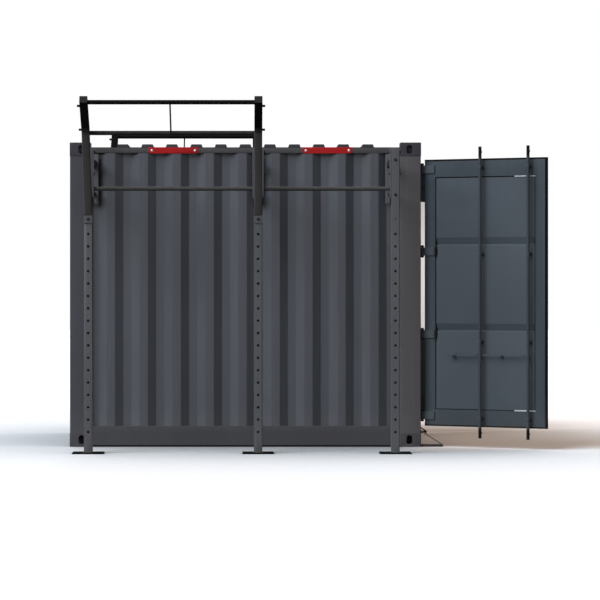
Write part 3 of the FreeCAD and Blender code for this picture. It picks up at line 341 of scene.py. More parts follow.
# %% [markdown]
# ## Black ends and painted shade
#
# The upper lengths of the climbing arms, and the bars and bolts up there, are painted black as
# painted shade, since they face down away from the light.  The lock rods are black with grease
# where they stick out past the doors.  Both are a change of colour at a height, so one group
# compares the height with a low and a high mark and blends over two centimetres.

# %% Group: black ends and painted shade
BLACKENS = 47.0             # of black to the metre
net, given, leave = new_group(
    "black ends and painted shade", [("Low", "Float", -1.0), ("High", "Float", 9.0)], MASK)
height = wire(net, "SeparateXYZ", {0: own_place(net)}).outputs["Z"]
above = calc(net, "SUBTRACT", height, given["High"])
below = calc(net, "SUBTRACT", given["Low"], height)
past = calc(net, "MAXIMUM", above, below)
black = calc(net, "MULTIPLY", past, BLACKENS, use_clamp=True)
fill(net, leave, {"Mask": black})
print("group:", net.name)

# %% [markdown]
# ## Paints
#
# All the greys are the same kind of paint in slightly different tones, so one function builds the
# material from the groups.  The dust and the rubbed edges are mixed over the coat as colours, and
# the coat's gloss stays low.

# %% Paint
DUST = (0.150, 0.140, 0.128, 1)
# Black of grease on the rods' ends, and painted shade on the arms and bars up high.
BLACK_OF_GREASE_AND_SHADE = (0.0020, 0.0020, 0.0022, 1)
BARE_LIFT, DIRT_DULLS = 0.02, 0.35
SKIN_BUMP, SKIN_DEPTH = 0.35, 0.0012
UNDERGROUND = -1.0
leaf_low, leaf_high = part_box("near_door_frame")
ROD_ENDS = (leaf_low.z, leaf_high.z)
# Above the low bars the arms and bars are painted black as shade, because they face down.
ARM_PAINTED_SHADE_ENDS = (UNDERGROUND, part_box("low_bars")[1].z)
finishes = {}


def paint(name, slot, colour, rough=0.5, gloss=0.25, uneven=0.09, marks=0.16, dust=0.45,
          dust_height=0.35, rub=0.35, rubbed_to=2.2, swell=1.0, metal=0.0, ends=None):
    """Painted steel with clouds, rain marks, ground dust, rubbed edges and perhaps black ends:
    grease on the rods, painted shade on the arms and bars.
    """
    material, tree, shader = new_material(name)
    coat = use(tree, "uneven coat", Colour=(*colour, 1), Amount=uneven)
    rain = use(tree, "rain marks", Amount=marks)[0]
    low = use(tree, "ground dust", Height=dust_height, Amount=dust)[0]
    dirt = calc(tree, "MAXIMUM", rain, low)
    dirty = blend(tree, dirt, coat["Colour"], DUST)
    bare = tuple(min(1.0, channel * rubbed_to + BARE_LIFT) for channel in colour)
    worn = blend(tree, use(tree, "rubbed edges", Amount=rub)[0], dirty, (*bare, 1))
    if ends:
        black = use(tree, "black ends and painted shade", Low=ends[0], High=ends[1])[0]
        worn = blend(tree, black, worn, BLACK_OF_GREASE_AND_SHADE)
    dull = calc(tree, "MULTIPLY_ADD", dirt, DIRT_DULLS, coat["Gloss shift"])
    final = calc(tree, "ADD", dull, rough, use_clamp=True)
    fill(tree, shader, {"Base Color": worn, "Roughness": final, "Specular IOR Level": gloss,
                        "Metallic": metal})
    bumped(tree, shader, use(tree, "sprayed skin", Swell=swell)[0], SKIN_BUMP, SKIN_DEPTH)
    finishes[name] = (material, slot)


print("the arms are black above", round(ARM_PAINTED_SHADE_ENDS[1], 3), "m")

# %% [markdown]
# The walls are bluish, the rails and posts more neutral, the doors slate, and the bars and feet
# nearly black.  One call for each tone, all side by side, keeps the ones that belong together easy
# to compare.  Plates, liners and zinc are coated sheet too, so they use the same recipe.

# %% Set of paints
paint("wall grey", "shell_paint", (0.0435, 0.0475, 0.058), gloss=0.5, uneven=0.10, marks=0.16,
      swell=1.6)
paint("roof grey", "shell_paint", (0.020, 0.021, 0.025), gloss=0.15, uneven=0.12, marks=0.05)
paint("end post grey", "shell_paint", (0.040, 0.040, 0.049), gloss=0.3)
paint("door post grey", "shell_paint", (0.066, 0.061, 0.066), gloss=0.3)
paint("casting grey", "shell_paint", (0.030, 0.029, 0.037), gloss=0.25, rub=0.5)
paint("rail grey", "shell_paint", (0.054, 0.051, 0.055))
paint("low rail grey", "shell_paint", (0.043, 0.043, 0.049), gloss=0.3, dust=0.10)
paint("door grey", "door_paint", (0.028, 0.0385, 0.048), gloss=0.3, marks=0.05)
paint("panel grey", "door_paint", (0.040, 0.051, 0.064), gloss=0.35, uneven=0.08, marks=0.04,
      swell=1.8)
paint("hinge grey", "door_paint", (0.036, 0.045, 0.056), rub=0.6)
paint("hinge black", "door_paint", (0.010, 0.009, 0.008), rub=0.5, gloss=0.1, rubbed_to=4.0)
paint("rod grey", "door_paint", (0.046, 0.049, 0.055), rub=0.5, gloss=0.12, ends=ROD_ENDS)
paint("upright grey", "rig_paint", (0.069, 0.070, 0.077), gloss=0.3, rub=0.5)
# The wall plates lie in the uprights' shade, so this grey is painted lighter than the uprights' as
# painted light; the bar brackets and tube closers share it.
paint("bracket grey", "rig_paint", (0.078, 0.079, 0.084), rub=0.5)
# Above the low bars the arms and bars turn black: painted shade.
paint("arm grey", "rig_paint", (0.108, 0.106, 0.107), rub=0.3, gloss=0.03, rough=0.75,
      rubbed_to=1.4, ends=ARM_PAINTED_SHADE_ENDS)
paint("bar black", "rig_paint", (0.026, 0.026, 0.026), rub=0.4, gloss=0.05, rough=0.6,
      ends=ARM_PAINTED_SHADE_ENDS)
paint("grip grey", "rig_paint", (0.046, 0.045, 0.045), rub=0.3, gloss=0.15, rough=0.5)
paint("foot black", "rig_paint", (0.002, 0.002, 0.0022), rough=0.85, uneven=0.3, rub=0.15,
      gloss=0.02, dust=0.04, dust_height=0.05)
paint("stay brown", "stay_paint", (0.130, 0.112, 0.100), rough=0.8, uneven=0.3, dust=0.7,
      dust_height=0.2, rub=0.8)
paint("foot brown", "stay_paint", (0.030, 0.026, 0.023), rough=0.85, uneven=0.3, dust=0.2,
      dust_height=0.1, rub=0.5)
paint("plate red", "red_plate", (0.355, 0.0130, 0.0140), rough=0.5, gloss=0.10, uneven=0.07,
      marks=0.0, dust=0.0, rub=0.5, rubbed_to=1.3, swell=0.4)
paint("liner white", "liner_white", (0.84, 0.80, 0.78), rough=0.5, gloss=0.3, uneven=0.03,
      marks=0.06, dust=0.1, rub=0.2, rubbed_to=0.7)
paint("bright zinc", "zinc", (0.70, 0.71, 0.72), rough=0.32, gloss=0.5, uneven=0.12, marks=0.05,
      dust=0.0, rub=0.2, rubbed_to=1.1, swell=0.2, metal=1.0)
print(len(finishes), "painted finishes")

# %% [markdown]
# ## Floor ply, rubber and plastic
#
# The floor is thick plywood, so its grain runs one way in long wavering bands: a noise stretched
# along the board, sharpened into lines, with darker scuffs over it.  The door seals are soft black
# rubber with a greyish bloom, and the plugs in the arms' ends are moulded plastic with a fine
# leathery grain.

# %% Ply
GRAIN = (0.9, 26.0, 26.0)
PLY_TONES = ((0.32, (0.125, 0.066, 0.032, 1)), (0.70, (0.360, 0.230, 0.125, 1)))
SCUFF_TONE, SCUFF_FROM, SCUFF_FULL, SCUFF_MOST = (0.075, 0.062, 0.050, 1), 0.45, 0.72, 0.6
PLY_SHINIEST, PLY_DULLEST = 0.45, 0.75
material, tree, shader = new_material("floor ply")
bands = noise(tree, GRAIN, 1.0, 8.0, Roughness=0.62, Distortion=0.6)
tones = wire(tree, "ValToRGB", {"Fac": bands})
for stop, (place, tone) in zip(tones.color_ramp.elements, PLY_TONES):
    stop.position, stop.color = place, tone
scuffs = noise(tree, EVEN, 5.0, 7.0, Roughness=0.7)
scuffed = remap(tree, scuffs, SCUFF_FROM, SCUFF_FULL, 0.0, SCUFF_MOST)
mixed = blend(tree, scuffed, tones.outputs["Color"], SCUFF_TONE)
dull = remap(tree, bands, 0.0, 1.0, PLY_SHINIEST, PLY_DULLEST)
fill(tree, shader, {"Base Color": mixed, "Roughness": dull})
bumped(tree, shader, bands, 0.4, 0.001)
finishes["floor ply"] = (material, "floor_ply")
print("ply has", len(tree.nodes), "nodes")


# %% Rubber and plastic
BLOOM, SPLASHED_TO, SPLASHED = 0.18, 0.5, 0.3


def moulded(name, slot, colour, grain, rough, gloss):
    """Rubber or plastic: bloom over a near-even colour, and a pebbled grain."""
    material, tree, shader = new_material(name)
    coat = use(tree, "uneven coat", Colour=(*colour, 1), Amount=BLOOM)
    low = use(tree, "ground dust", Height=SPLASHED_TO, Amount=SPLASHED)[0]
    fill(tree, shader, {"Base Color": blend(tree, low, coat["Colour"], DUST),
                        "Roughness": calc(tree, "ADD", coat["Gloss shift"], rough),
                        "Specular IOR Level": gloss})
    cells = wire(tree, "TexVoronoi", {"Vector": mapped(tree, EVEN), "Scale": grain})
    bumped(tree, shader, cells.outputs["Distance"], 0.4, 0.0004)
    finishes[name] = (material, slot)


moulded("seal rubber", "seal_rubber", (0.006, 0.006, 0.0065), 900.0, 0.8, 0.06)
moulded("cap plastic", "cap_plastic", (0.009, 0.009, 0.010), 650.0, 0.6, 0.12)
print("moulded finishes:", "seal rubber, cap plastic")

# %% [markdown]
# ## Taking a piece over from the CAD
#
# The CAD pieces have the right sizes but knife-sharp edges, and an edge without width catches no
# light.  So every piece, copied or new, is finished in the same steps: it gets its material and
# smooth shading, a fine bevel goes round its sharp edges where a width is given, and it rides on
# the body of the CAD piece that it stands for, so doors and rods still move.

# %% Placing a piece
SHARP = math.radians(35)


def place_piece(name, bm, finish, body, stands_for=(), fine=0.0, turn_out=False):
    """Turn a bmesh into a shaded object that rides on a body; turn_out makes faces face out."""
    if turn_out:
        bmesh.ops.recalc_face_normals(bm, faces=bm.faces)
    mesh = bpy.data.meshes.new(name)
    bm.to_mesh(mesh)
    bm.free()
    material, slot = finishes[finish]
    mesh.materials.append(material)
    mesh.shade_smooth()
    mesh.set_sharp_from_angle(angle=SHARP)
    piece = bpy.data.objects.new(name, mesh)
    stage.link(piece)
    if fine:
        bevel = piece.modifiers.new("fine edges", "BEVEL")
        bevel.width = fine
        bevel.segments = 2
        bevel.limit_method = "ANGLE"
        bevel.angle_limit = SHARP
        bevel.use_clamp_overlap = True
        bevel.harden_normals = True
    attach(piece, body)
    if stands_for:
        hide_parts(*stands_for)
    return piece


print("edges past", round(math.degrees(SHARP)), "degrees get the fine bevel")

# %% [markdown]
# A piece that only needs softer edges is a copy of its CAD piece.  The copy's triangles are merged
# back into whole faces first, because a bevel would follow every one of them.  Long outside edges
# of tubes and pressed frames get a large radius, and the fine bevel takes what is still sharp.

# %% Copying a piece
MERGE = 1e-5
FLAT_WITHIN = math.radians(1)
OUTSIDE_TURN = math.radians(40)


def clean_copy(node):
    """A CAD node's mesh with its triangles merged back into whole faces."""
    bm = bmesh.new()
    bm.from_mesh(nodes[node].data)
    bmesh.ops.remove_doubles(bm, verts=bm.verts, dist=MERGE)
    bmesh.ops.dissolve_limit(bm, angle_limit=FLAT_WITHIN, verts=bm.verts, edges=bm.edges)
    return bm


def round_long_edges(bm, shortest, radius, steps=4):
    """Round the outside edges that are longer than shortest."""
    edges = [edge for edge in bm.edges
             if edge.is_manifold and edge.calc_length() > shortest
             and edge.calc_face_angle_signed() > OUTSIDE_TURN]
    bmesh.ops.bevel(bm, geom=edges, offset=radius, offset_type="OFFSET", segments=steps,
                    profile=0.5, affect="EDGES", clamp_overlap=True)


def take_over(node, finish, fine, shortest=0.0, radius=0.0):
    """Copy a CAD piece, round its long edges if radius says so, and dress it."""
    bm = clean_copy(node)
    if radius:
        round_long_edges(bm, shortest, radius)
    return place_piece(node + "_finished", bm, finish, body_of[node], (node,), fine)


print("bends are outside edges past", round(math.degrees(OUTSIDE_TURN)), "degrees")

# %% [markdown]
# One CAD node often holds many parts that are alike, such as eight screws or six uprights.
# `islands` tells them apart by walking along edges from corner to corner, and `span` gives a
# part's box.  The boxes say where domed screws, bolt heads and welds go.

# %% Loose parts
def islands(node):
    """The loose parts of a CAD node, each a list of its corners."""
    bm = bmesh.new()
    bm.from_mesh(nodes[node].data)
    bmesh.ops.remove_doubles(bm, verts=bm.verts, dist=MERGE)
    seen, parts = set(), []
    for vert in bm.verts:
        if vert in seen:
            continue
        seen.add(vert)
        stack, part = [vert], []
        while stack:
            corner = stack.pop()
            part.append(corner.co.copy())
            for edge in corner.link_edges:
                other = edge.other_vert(corner)
                if other not in seen:
                    seen.add(other)
                    stack.append(other)
        parts.append(part)
    bm.free()
    return parts


def span(points):
    """Lowest and highest corner of some points."""
    return (Vector(min(p[i] for p in points) for i in range(3)),
            Vector(max(p[i] for p in points) for i in range(3)))


print("uprights have", len(islands("uprights")), "loose parts")

# %% [markdown]
# ## Frame of the container
#
# The castings are cast steel, so their edges are generous.  Posts and rails are pressed or rolled,
# with outside bends of several millimetres.  The sill, header and floor channels are folded
# plate.  Each row gives a piece, its finish, the width of its fine bevel, the shortest edge that
# is rounded as a bend, and the bend's radius, all in metres.

# %% Castings, posts and rails
FRAME_PIECES = (("corner_castings", "casting grey", 0.0008, 0.09, 0.005),
                ("end_posts", "end post grey", 0.0006, 1.0, 0.007),
                ("door_posts", "door post grey", 0.0006, 1.0, 0.006),
                ("top_side_rails", "rail grey", 0.0006, 1.0, 0.005),
                ("bottom_side_rails", "low rail grey", 0.0006, 1.0, 0.005),
                ("end_rails", "rail grey", 0.0006, 1.0, 0.005),
                ("door_header", "rail grey", 0.0006, 1.0, 0.004),
                ("door_sill", "low rail grey", 0.0006, 1.0, 0.004),
                ("cross_members", "low rail grey", 0.0005, 1.0, 0.003))
for piece in FRAME_PIECES:
    take_over(*piece)
print("frame pieces taken over")

# %% [markdown]
# ## Folded sheets
#
# A container wall is one sheet pressed into flat crests and troughs.  The bends are round, and
# those round bends are what makes each fold catch a soft line of light.  So the wall is drawn as
# a line across its depth, every corner of the line is replaced by a short curve, and the line is
# given its thickness.

# %% Rounded and thickened lines
MOST_OF_SIDE = 0.45         # a bend may use up this much of the straight beside it


def rounded(line, radius, steps=4):
    """Replace the inner corners of a line of 2-D points by curves that touch both sides."""
    points = [Vector(line[0])]
    for before, corner, after in zip(line, line[1:], line[2:]):
        corner = Vector(corner)
        back, ahead = Vector(before) - corner, Vector(after) - corner
        turn = math.pi - back.angle(ahead)
        cut = min(radius * math.tan(turn / 2), MOST_OF_SIDE * min(back.length, ahead.length))
        start, end = corner + back.normalized() * cut, corner + ahead.normalized() * cut
        for i in range(steps + 1):
            t = i / steps
            points.append(start * (1 - t) ** 2 + corner * (2 * t * (1 - t)) + end * t ** 2)
    points.append(Vector(line[-1]))
    return points


def thickened(points, thick):
    """Closed outline of a line of 2-D points and its copy shifted sideways by thick."""
    shifted = []
    for i, point in enumerate(points):
        along = points[min(i + 1, len(points) - 1)] - points[max(i - 1, 0)]
        side = Vector((-along.y, along.x)).normalized()
        shifted.append(point + side * thick)
    return points + shifted[::-1]


print("a square corner rounds into", len(rounded([(0, 0), (1, 0), (1, 1)], 0.1)) - 2, "points")

# %% [markdown]
# The outline is then pulled from one end of the sheet to the other.  Its two ends are closed with
# a strip of four-sided faces across the thickness: one face with so many corners would shade
# badly where the sheet bends back.

# %% Pulling an outline
def join_rings(bm, low, high):
    """Faces between two closed rings of as many corners."""
    for i in range(len(low)):
        j = (i + 1) % len(low)
        bm.faces.new((low[i], low[j], high[j], high[i]))


def add_extrusion(bm, outline, start, end):
    """Pull a closed outline from one end to the other; start and end turn 2-D into 3-D."""
    low = [bm.verts.new(start(p)) for p in outline]
    high = [bm.verts.new(end(p)) for p in outline]
    join_rings(bm, low, high)
    count = len(outline)
    for ring in (low, high):
        for i in range(count // 2 - 1):
            bm.faces.new((ring[i], ring[i + 1], ring[count - 2 - i], ring[count - 1 - i]))


print("outlines can be pulled")

# %% [markdown]
# ## Side walls and end wall
#
# Both long walls have nine crests, and the blind end has seven of the same pressing.  Bends with a
# radius near 14 mm match rolled sheet of this gauge.

# %% Walls
WALL_INSET, WALL_DEPTH, WALL_SHEET = 0.008, 0.036, 0.002
CREST, SLOPE, TROUGH = 0.071, 0.070, 0.0696
FIRST_SLOPE = -1.252
BEND = 0.014
SIDE_CRESTS, END_CRESTS = 9, 7


def wall_line(first, crests, half):
    """The folded line from -half to half, with its first slope starting at first."""
    line = [(-half, WALL_DEPTH)]
    along = first
    for _ in range(crests):
        line += [(along, WALL_DEPTH), (along + SLOPE, 0.0), (along + SLOPE + CREST, 0.0),
                 (along + 2 * SLOPE + CREST, WALL_DEPTH)]
        along += CREST + 2 * SLOPE + TROUGH
    return line + [(half, WALL_DEPTH)]


wall_low, wall_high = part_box("side_walls")
half_wall = (wall_high.x - wall_low.x) / 2
outline = thickened(rounded(wall_line(FIRST_SLOPE, SIDE_CRESTS, half_wall), BEND), WALL_SHEET)
face = HALF_WIDE - WALL_INSET
bm = bmesh.new()
for side in (-1, 1):
    add_extrusion(bm, outline,
                  lambda p: (MID_X + p.x, side * (face - p.y), wall_low.z),
                  lambda p: (MID_X + p.x, side * (face - p.y), wall_high.z))
place_piece("side_walls_folded", bm, "wall grey", "container", ("side_walls",), turn_out=True)

end_low, end_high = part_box("end_wall")
ribbed = END_CRESTS * (CREST + 2 * SLOPE + TROUGH) - TROUGH
outline = thickened(rounded(wall_line(-ribbed / 2, END_CRESTS, end_high.y), BEND), WALL_SHEET)
bm = bmesh.new()
face = MID_X - HALF_LONG + WALL_INSET
add_extrusion(bm, outline, lambda p: (face + p.y, p.x, end_low.z),
              lambda p: (face + p.y, p.x, end_high.z))
place_piece("end_wall_folded", bm, "wall grey", "container", ("end_wall",), turn_out=True)
print("walls", round(2 * half_wall, 3), "m and", round(2 * end_high.y, 3), "m long")

# %% [markdown]
# ## Roof
#
# The roof is one sheet with eleven low ridges pressed across it so that rain runs off and the
# sheet stays stiff.  Modelling eleven ridges by hand would be slow, so a height formula makes
# them: it rises smoothly over a narrow flank on all four sides of each ridge.

# %% Height of the ridges
RIDGES, RIDGE_PITCH = 11, 0.209
RIDGE_BASE, RIDGE_TOP, RIDGE_LONG = 0.056, 0.042, 1.150
ROOF_SHEET = 0.003
roof_low, roof_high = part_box("roof_panel")
flank = RIDGE_BASE - RIDGE_TOP
ridge_high = roof_high.z - roof_low.z - ROOF_SHEET


def rise(distance, inner, outer):
    """1 inside, 0 outside, and a smooth flank between."""
    t = max(0.0, min(1.0, (outer - distance) / (outer - inner)))
    return t * t * (3 - 2 * t)


def roof_rise(x, y):
    """The ridges' height over the sheet."""
    nearest = round((x - MID_X) / RIDGE_PITCH) * RIDGE_PITCH
    limit = (RIDGES - 1) / 2 * RIDGE_PITCH
    nearest = max(-limit, min(limit, nearest))
    return ridge_high * min(rise(abs(x - MID_X - nearest), RIDGE_TOP, RIDGE_BASE),
                            rise(abs(y), RIDGE_LONG - flank, RIDGE_LONG))


print("the ridges are", round(ridge_high, 4), "m high")

# %% [markdown]
# The sheet is a grid whose points take their height from the formula.  It has lines only where the
# height changes, and it leaves out the four corners where the castings stand.  Solidify gives it
# the gauge of real roof sheet.

# %% Roof sheet
CASTING_LONG, CASTING_WIDE = 0.178, 0.162
FLANK_STEPS = 6
flank_at = [i / FLANK_STEPS * flank for i in range(FLANK_STEPS + 1)]
xs = {roof_low.x, roof_high.x, MID_X - HALF_LONG + CASTING_LONG, MID_X + HALF_LONG - CASTING_LONG}
for i in range(RIDGES):
    middle = MID_X + (i - (RIDGES - 1) / 2) * RIDGE_PITCH
    for out in flank_at:
        xs |= {middle - RIDGE_TOP - out, middle + RIDGE_TOP + out}
ys = {roof_low.y, roof_high.y, HALF_WIDE - CASTING_WIDE, CASTING_WIDE - HALF_WIDE}
for out in flank_at:
    ys |= {out - RIDGE_LONG, RIDGE_LONG - out}
xs, ys = sorted(xs), sorted(ys)
bm = bmesh.new()
flat_z = roof_low.z + ROOF_SHEET
grid = [[bm.verts.new((x, y, flat_z + roof_rise(x, y))) for y in ys] for x in xs]
for i in range(len(xs) - 1):
    for j in range(len(ys) - 1):
        x, y = (xs[i] + xs[i + 1]) / 2 - MID_X, (ys[j] + ys[j + 1]) / 2
        if abs(x) > HALF_LONG - CASTING_LONG and abs(y) > HALF_WIDE - CASTING_WIDE:
            continue
        bm.faces.new((grid[i][j], grid[i + 1][j], grid[i + 1][j + 1], grid[i][j + 1]))
bmesh.ops.delete(bm, geom=[v for v in bm.verts if not v.link_faces], context="VERTS")
roof = place_piece("roof_sheet", bm, "roof grey", "container", ("roof_panel",))
gauge = roof.modifiers.new("gauge", "SOLIDIFY")
gauge.thickness = ROOF_SHEET
gauge.offset = -1
print("roof grid", len(xs), "by", len(ys))

# %% [markdown]
# ## Doors
#
# Each door is a pressed frame round a sheet with two pressed bands, hung on four strap hinges.
# The doors stand open, so their pieces are easiest to lay out on a shut door and then swing round
# the hinge.  `on_door` does that: it takes a distance from the hinge edge, a distance out from the
# face and a height, and gives the place in the scene.  The hinge's own place and swing come from
# the frame.

# %% A place on a door
hinges = {joint["name"]: joint for joint in record["behaviour"]["joints"]}
near_hinge = hinges["near_door_hinge"]
PIN_X, PIN_Y = near_hinge["pos_m"][:2]
SWING = math.radians(-near_hinge["range_deg"][0])
EDGE_FROM_PIN, FACE_FROM_PIN = 0.016, -0.014
DOOR_WIDE, STILE = 1.136, 0.100
SIDES = ((-1, "near"), (1, "far"))


def on_door(side, along, out, height):
    """side is -1 for the near door and 1 for the far one."""
    x, y = FACE_FROM_PIN + out, EDGE_FROM_PIN + along
    across = PIN_Y - math.sin(SWING) * x + math.cos(SWING) * y
    return Vector((PIN_X + math.cos(SWING) * x + math.sin(SWING) * y, -side * across, height))


print("near door's free edge at", [round(v, 3) for v in on_door(-1, DOOR_WIDE, 0.0, 0.0)])

# %% [markdown]
# The panel is drawn as a line up the door.  At each band it steps in sharply and then slopes back
# out, so the band looks down and stays dark under an overhead light.

# %% Door panels
PANEL_BACK, BAND_TALL, BAND_DEPTH, BAND_STEP = 0.004, 0.064, 0.020, 0.003
BAND_MIDDLES = (1.020, 1.749)
PANEL_BEND, PANEL_SHEET = 0.004, 0.002
panel_low, panel_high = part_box("near_door_panel")
line = [(panel_low.z, 0.0)]
for middle in BAND_MIDDLES:
    start, end = middle - BAND_TALL / 2, middle + BAND_TALL / 2
    line += [(start, 0.0), (start + BAND_STEP, BAND_DEPTH), (end, 0.0)]
line.append((panel_high.z, 0.0))
outline = thickened(rounded(line, PANEL_BEND), PANEL_SHEET)
DOOR_PIECES = (("_hinge_blades", "hinge grey", 0.0015), ("_rod_guides", "panel grey", 0.0012),
               ("_handle_catches", "panel grey", 0.0008),
               ("_inner_lock_rod", "rod grey", 0.0010), ("_inner_handle", "panel grey", 0.0015),
               ("_outer_lock_rod", "rod grey", 0.0010), ("_outer_handle", "panel grey", 0.0015))
liners = bpy.data.collections.new("liners")
for side, label in SIDES:
    bm = bmesh.new()
    add_extrusion(bm, outline,
                  lambda p: on_door(side, STILE, -PANEL_BACK - p.y, p.x),
                  lambda p: on_door(side, DOOR_WIDE - STILE, -PANEL_BACK - p.y, p.x))
    place_piece(label + "_panel_folded", bm, "panel grey", label + "_door",
                (label + "_door_panel",), turn_out=True)
    take_over(label + "_door_frame", "door grey", 0.0006, 0.5, 0.003)
    liners.objects.link(take_over(label + "_door_liner", "liner white", 0.0008))
    for rest, finish, fine in DOOR_PIECES:
        take_over(label + rest, finish, fine)
for node in ("hinge_lugs", "hinge_pins"):
    take_over(node, "hinge black", 0.0012)
take_over("lock_keepers", "hinge grey", 0.0012)
print("doors hung from", len(islands("hinge_pins")), "pins")

# %% [markdown]
# A door seal is one rubber profile run round the leaf and mitred at its corners: a flat back, two
# soft lips that squash against the post, and a thin flap along the door's edge.

# %% Door seals
DOOR_LOW, DOOR_HIGH = leaf_low.z, leaf_high.z
SEAL_PROFILE = [(0.003, -0.006), (0.0034, -0.018), (0.003, -0.030), (0.0022, -0.0345),
                (0.0000, -0.0360), (-0.0035, -0.0352), (-0.0062, -0.0322), (-0.0100, -0.0312),
                (-0.0138, -0.0322), (-0.0165, -0.0352), (-0.0200, -0.0360), (-0.0226, -0.0345),
                (-0.0230, -0.0300), (-0.0230, -0.0280), (0.0000, -0.0280), (0.0000, -0.0060)]
for side, label in SIDES:
    bm = bmesh.new()
    rings = []
    for along, height, grow_along, grow_up in (
            (0.0, DOOR_LOW, -1, -1), (DOOR_WIDE, DOOR_LOW, 1, -1),
            (DOOR_WIDE, DOOR_HIGH, 1, 1), (0.0, DOOR_HIGH, -1, 1)):
        rings.append([bm.verts.new(on_door(side, along + grow_along * reach, out,
                                           height + grow_up * reach))
                      for reach, out in SEAL_PROFILE])
    for here, there in zip(rings, rings[1:] + rings[:1]):
        join_rings(bm, here, there)
    place_piece(label + "_seal_profile", bm, "seal rubber", label + "_door",
                (label + "_door_seal",), turn_out=True)
print("seal profile has", len(SEAL_PROFILE), "points")

# %% [markdown]
# The sheet is bedded in black sealant where it meets the frame, a bead down both sides and along
# the top and bottom.  Beside each of the two middle hinges a wide black lens lies on the panel as
# painted shadow of the hinge blade.  Beads and strips are small bars.  The shadow lens is flat,
# bowed only towards the panel.

# %% Bars and painted shadow lenses
BEAD_HALF = 0.0038
SHADOW_LENS_WIDE, SHADOW_LENS_TALL, SHADOW_LENS_THICK, SHADOW_LENS_STEPS = 0.022, 0.180, 0.0024, 12


def add_bar(bm, side, along, out, height):
    """A small bar on a door, from pairs of start and end along, out and up."""
    (a, b), (c, d) = [[[bm.verts.new(on_door(side, u, v, w)) for w in height] for v in out]
                      for u in along]
    for ring in ((a[0], b[0], d[0], c[0]), (a[1], c[1], d[1], b[1]), (a[0], a[1], b[1], b[0]),
                 (c[0], d[0], d[1], c[1]), (a[0], c[0], c[1], a[1]), (b[0], b[1], d[1], d[0])):
        bm.faces.new(ring)


def add_painted_shadow_lens(bm, side, middle):
    """A flat black lens beside a hinge, painted shadow: straight along the joint, bowed into the
    panel.
    """
    layers = []
    for out in (-PANEL_BACK, -PANEL_BACK + SHADOW_LENS_THICK):
        rows = []
        for i in range(SHADOW_LENS_STEPS + 1):
            t = 2 * i / SHADOW_LENS_STEPS - 1
            wide = BEAD_HALF + (SHADOW_LENS_WIDE - BEAD_HALF) * (1 - t * t) ** 2
            height = middle + t * SHADOW_LENS_TALL / 2
            rows.append([bm.verts.new(on_door(side, STILE + reach, out, height))
                         for reach in (0.0, wide)])
        for low, high in zip(rows, rows[1:]):
            bm.faces.new((low[0], low[1], high[1], high[0]))
        layers.append([row[0] for row in rows] + [row[1] for row in rows[::-1]])
    join_rings(bm, *layers[::-1])


print("a painted shadow lens beside a hinge is", SHADOW_LENS_TALL, "m tall")

# %% [markdown]
# The seal's outer lip folds over the leaf's top, foot and free edge and shows on the face as a
# narrow black border.  Near the free edge, two thin bright zinc strips lie on the joint above and
# below as painted highlights.  All of these are laid at heights read from the frame, so they stay
# on the leaf.

# %% Seal lip, sealant and highlight strips
STRIP_START, STRIP_TALL, STRIP_THICK = 0.845, 0.0095, 0.0015
SOFTENED = 0.0006
BEAD_SUNK, BEAD_PROUD = 0.001, 0.0028
LIP_WIDE, LIP_THICK, LIP_OUT = 0.011, 0.0016, 0.003
blades = [span(part) for part in islands("near_hinge_blades")]
blade_heights = sorted((low.z + high.z) / 2 for low, high in blades)
face_out = (0.0, LIP_THICK)
bead_out = (-PANEL_BACK - BEAD_SUNK, -PANEL_BACK + BEAD_PROUD)
near_x, far_x = STILE + BEAD_HALF, DOOR_WIDE - STILE - BEAD_HALF
low_z, high_z = panel_low.z + BEAD_HALF, panel_high.z - BEAD_HALF
for side, label in SIDES:
    sealant_and_shadow, highlight_strips, lips = bmesh.new(), bmesh.new(), bmesh.new()
    # Painted shadow of the two middle hinge blades: a black lens beside each.
    for z in blade_heights[1:-1]:
        add_painted_shadow_lens(sealant_and_shadow, side, z)
    add_bar(lips, side, (DOOR_WIDE - LIP_WIDE, DOOR_WIDE + LIP_OUT), face_out,
            (DOOR_LOW - LIP_OUT, DOOR_HIGH + LIP_OUT))
    for start, end in ((DOOR_LOW - LIP_OUT, DOOR_LOW + LIP_WIDE),
                       (DOOR_HIGH - LIP_WIDE, DOOR_HIGH + LIP_OUT)):
        add_bar(lips, side, (0.0, DOOR_WIDE - LIP_WIDE), face_out, (start, end))
    for x in (near_x, far_x):
        add_bar(sealant_and_shadow, side, (x - BEAD_HALF, x + BEAD_HALF), bead_out,
                (low_z - BEAD_HALF, high_z + BEAD_HALF))
    for z in (low_z, high_z):
        add_bar(sealant_and_shadow, side, (near_x, far_x), bead_out, (z - BEAD_HALF, z + BEAD_HALF))
        # The zinc strips are painted highlights at the panel's top and foot near the free edge.
        add_bar(highlight_strips, side, (STRIP_START, far_x + BEAD_HALF), (-PANEL_BACK, STRIP_THICK),
                (z - STRIP_TALL / 2, z + STRIP_TALL / 2))
    for bm, name, finish in ((lips, "_seal_lip", "seal rubber"),
                             (sealant_and_shadow, "_panel_sealant_and_painted_shadow", "seal rubber"),
                             (highlight_strips, "_highlight_zinc_strips", "bright zinc")):
        place_piece(label + name, bm, finish, label + "_door", fine=SOFTENED, turn_out=True)
print("sealant runs", round(2 * (far_x - near_x + high_z - low_z), 2), "m round each panel")

# %% [markdown]
# ## Turned pieces
#
# Screws, bolts and washers are round about one axis, as from a lathe.  So one helper makes them
# all: it turns pairs of radius and height round the axis, and the number of sides decides whether
# the piece is round or six-sided.

# %% Turned pieces
NEARLY_UPRIGHT = 0.9


def circle(centre, radius, first, second, steps):
    """Points round a centre in the plane of two directions."""
    turns = [2 * math.pi * k / steps for k in range(steps)]
    return [centre + first * (radius * math.cos(t)) + second * (radius * math.sin(t))
            for t in turns]


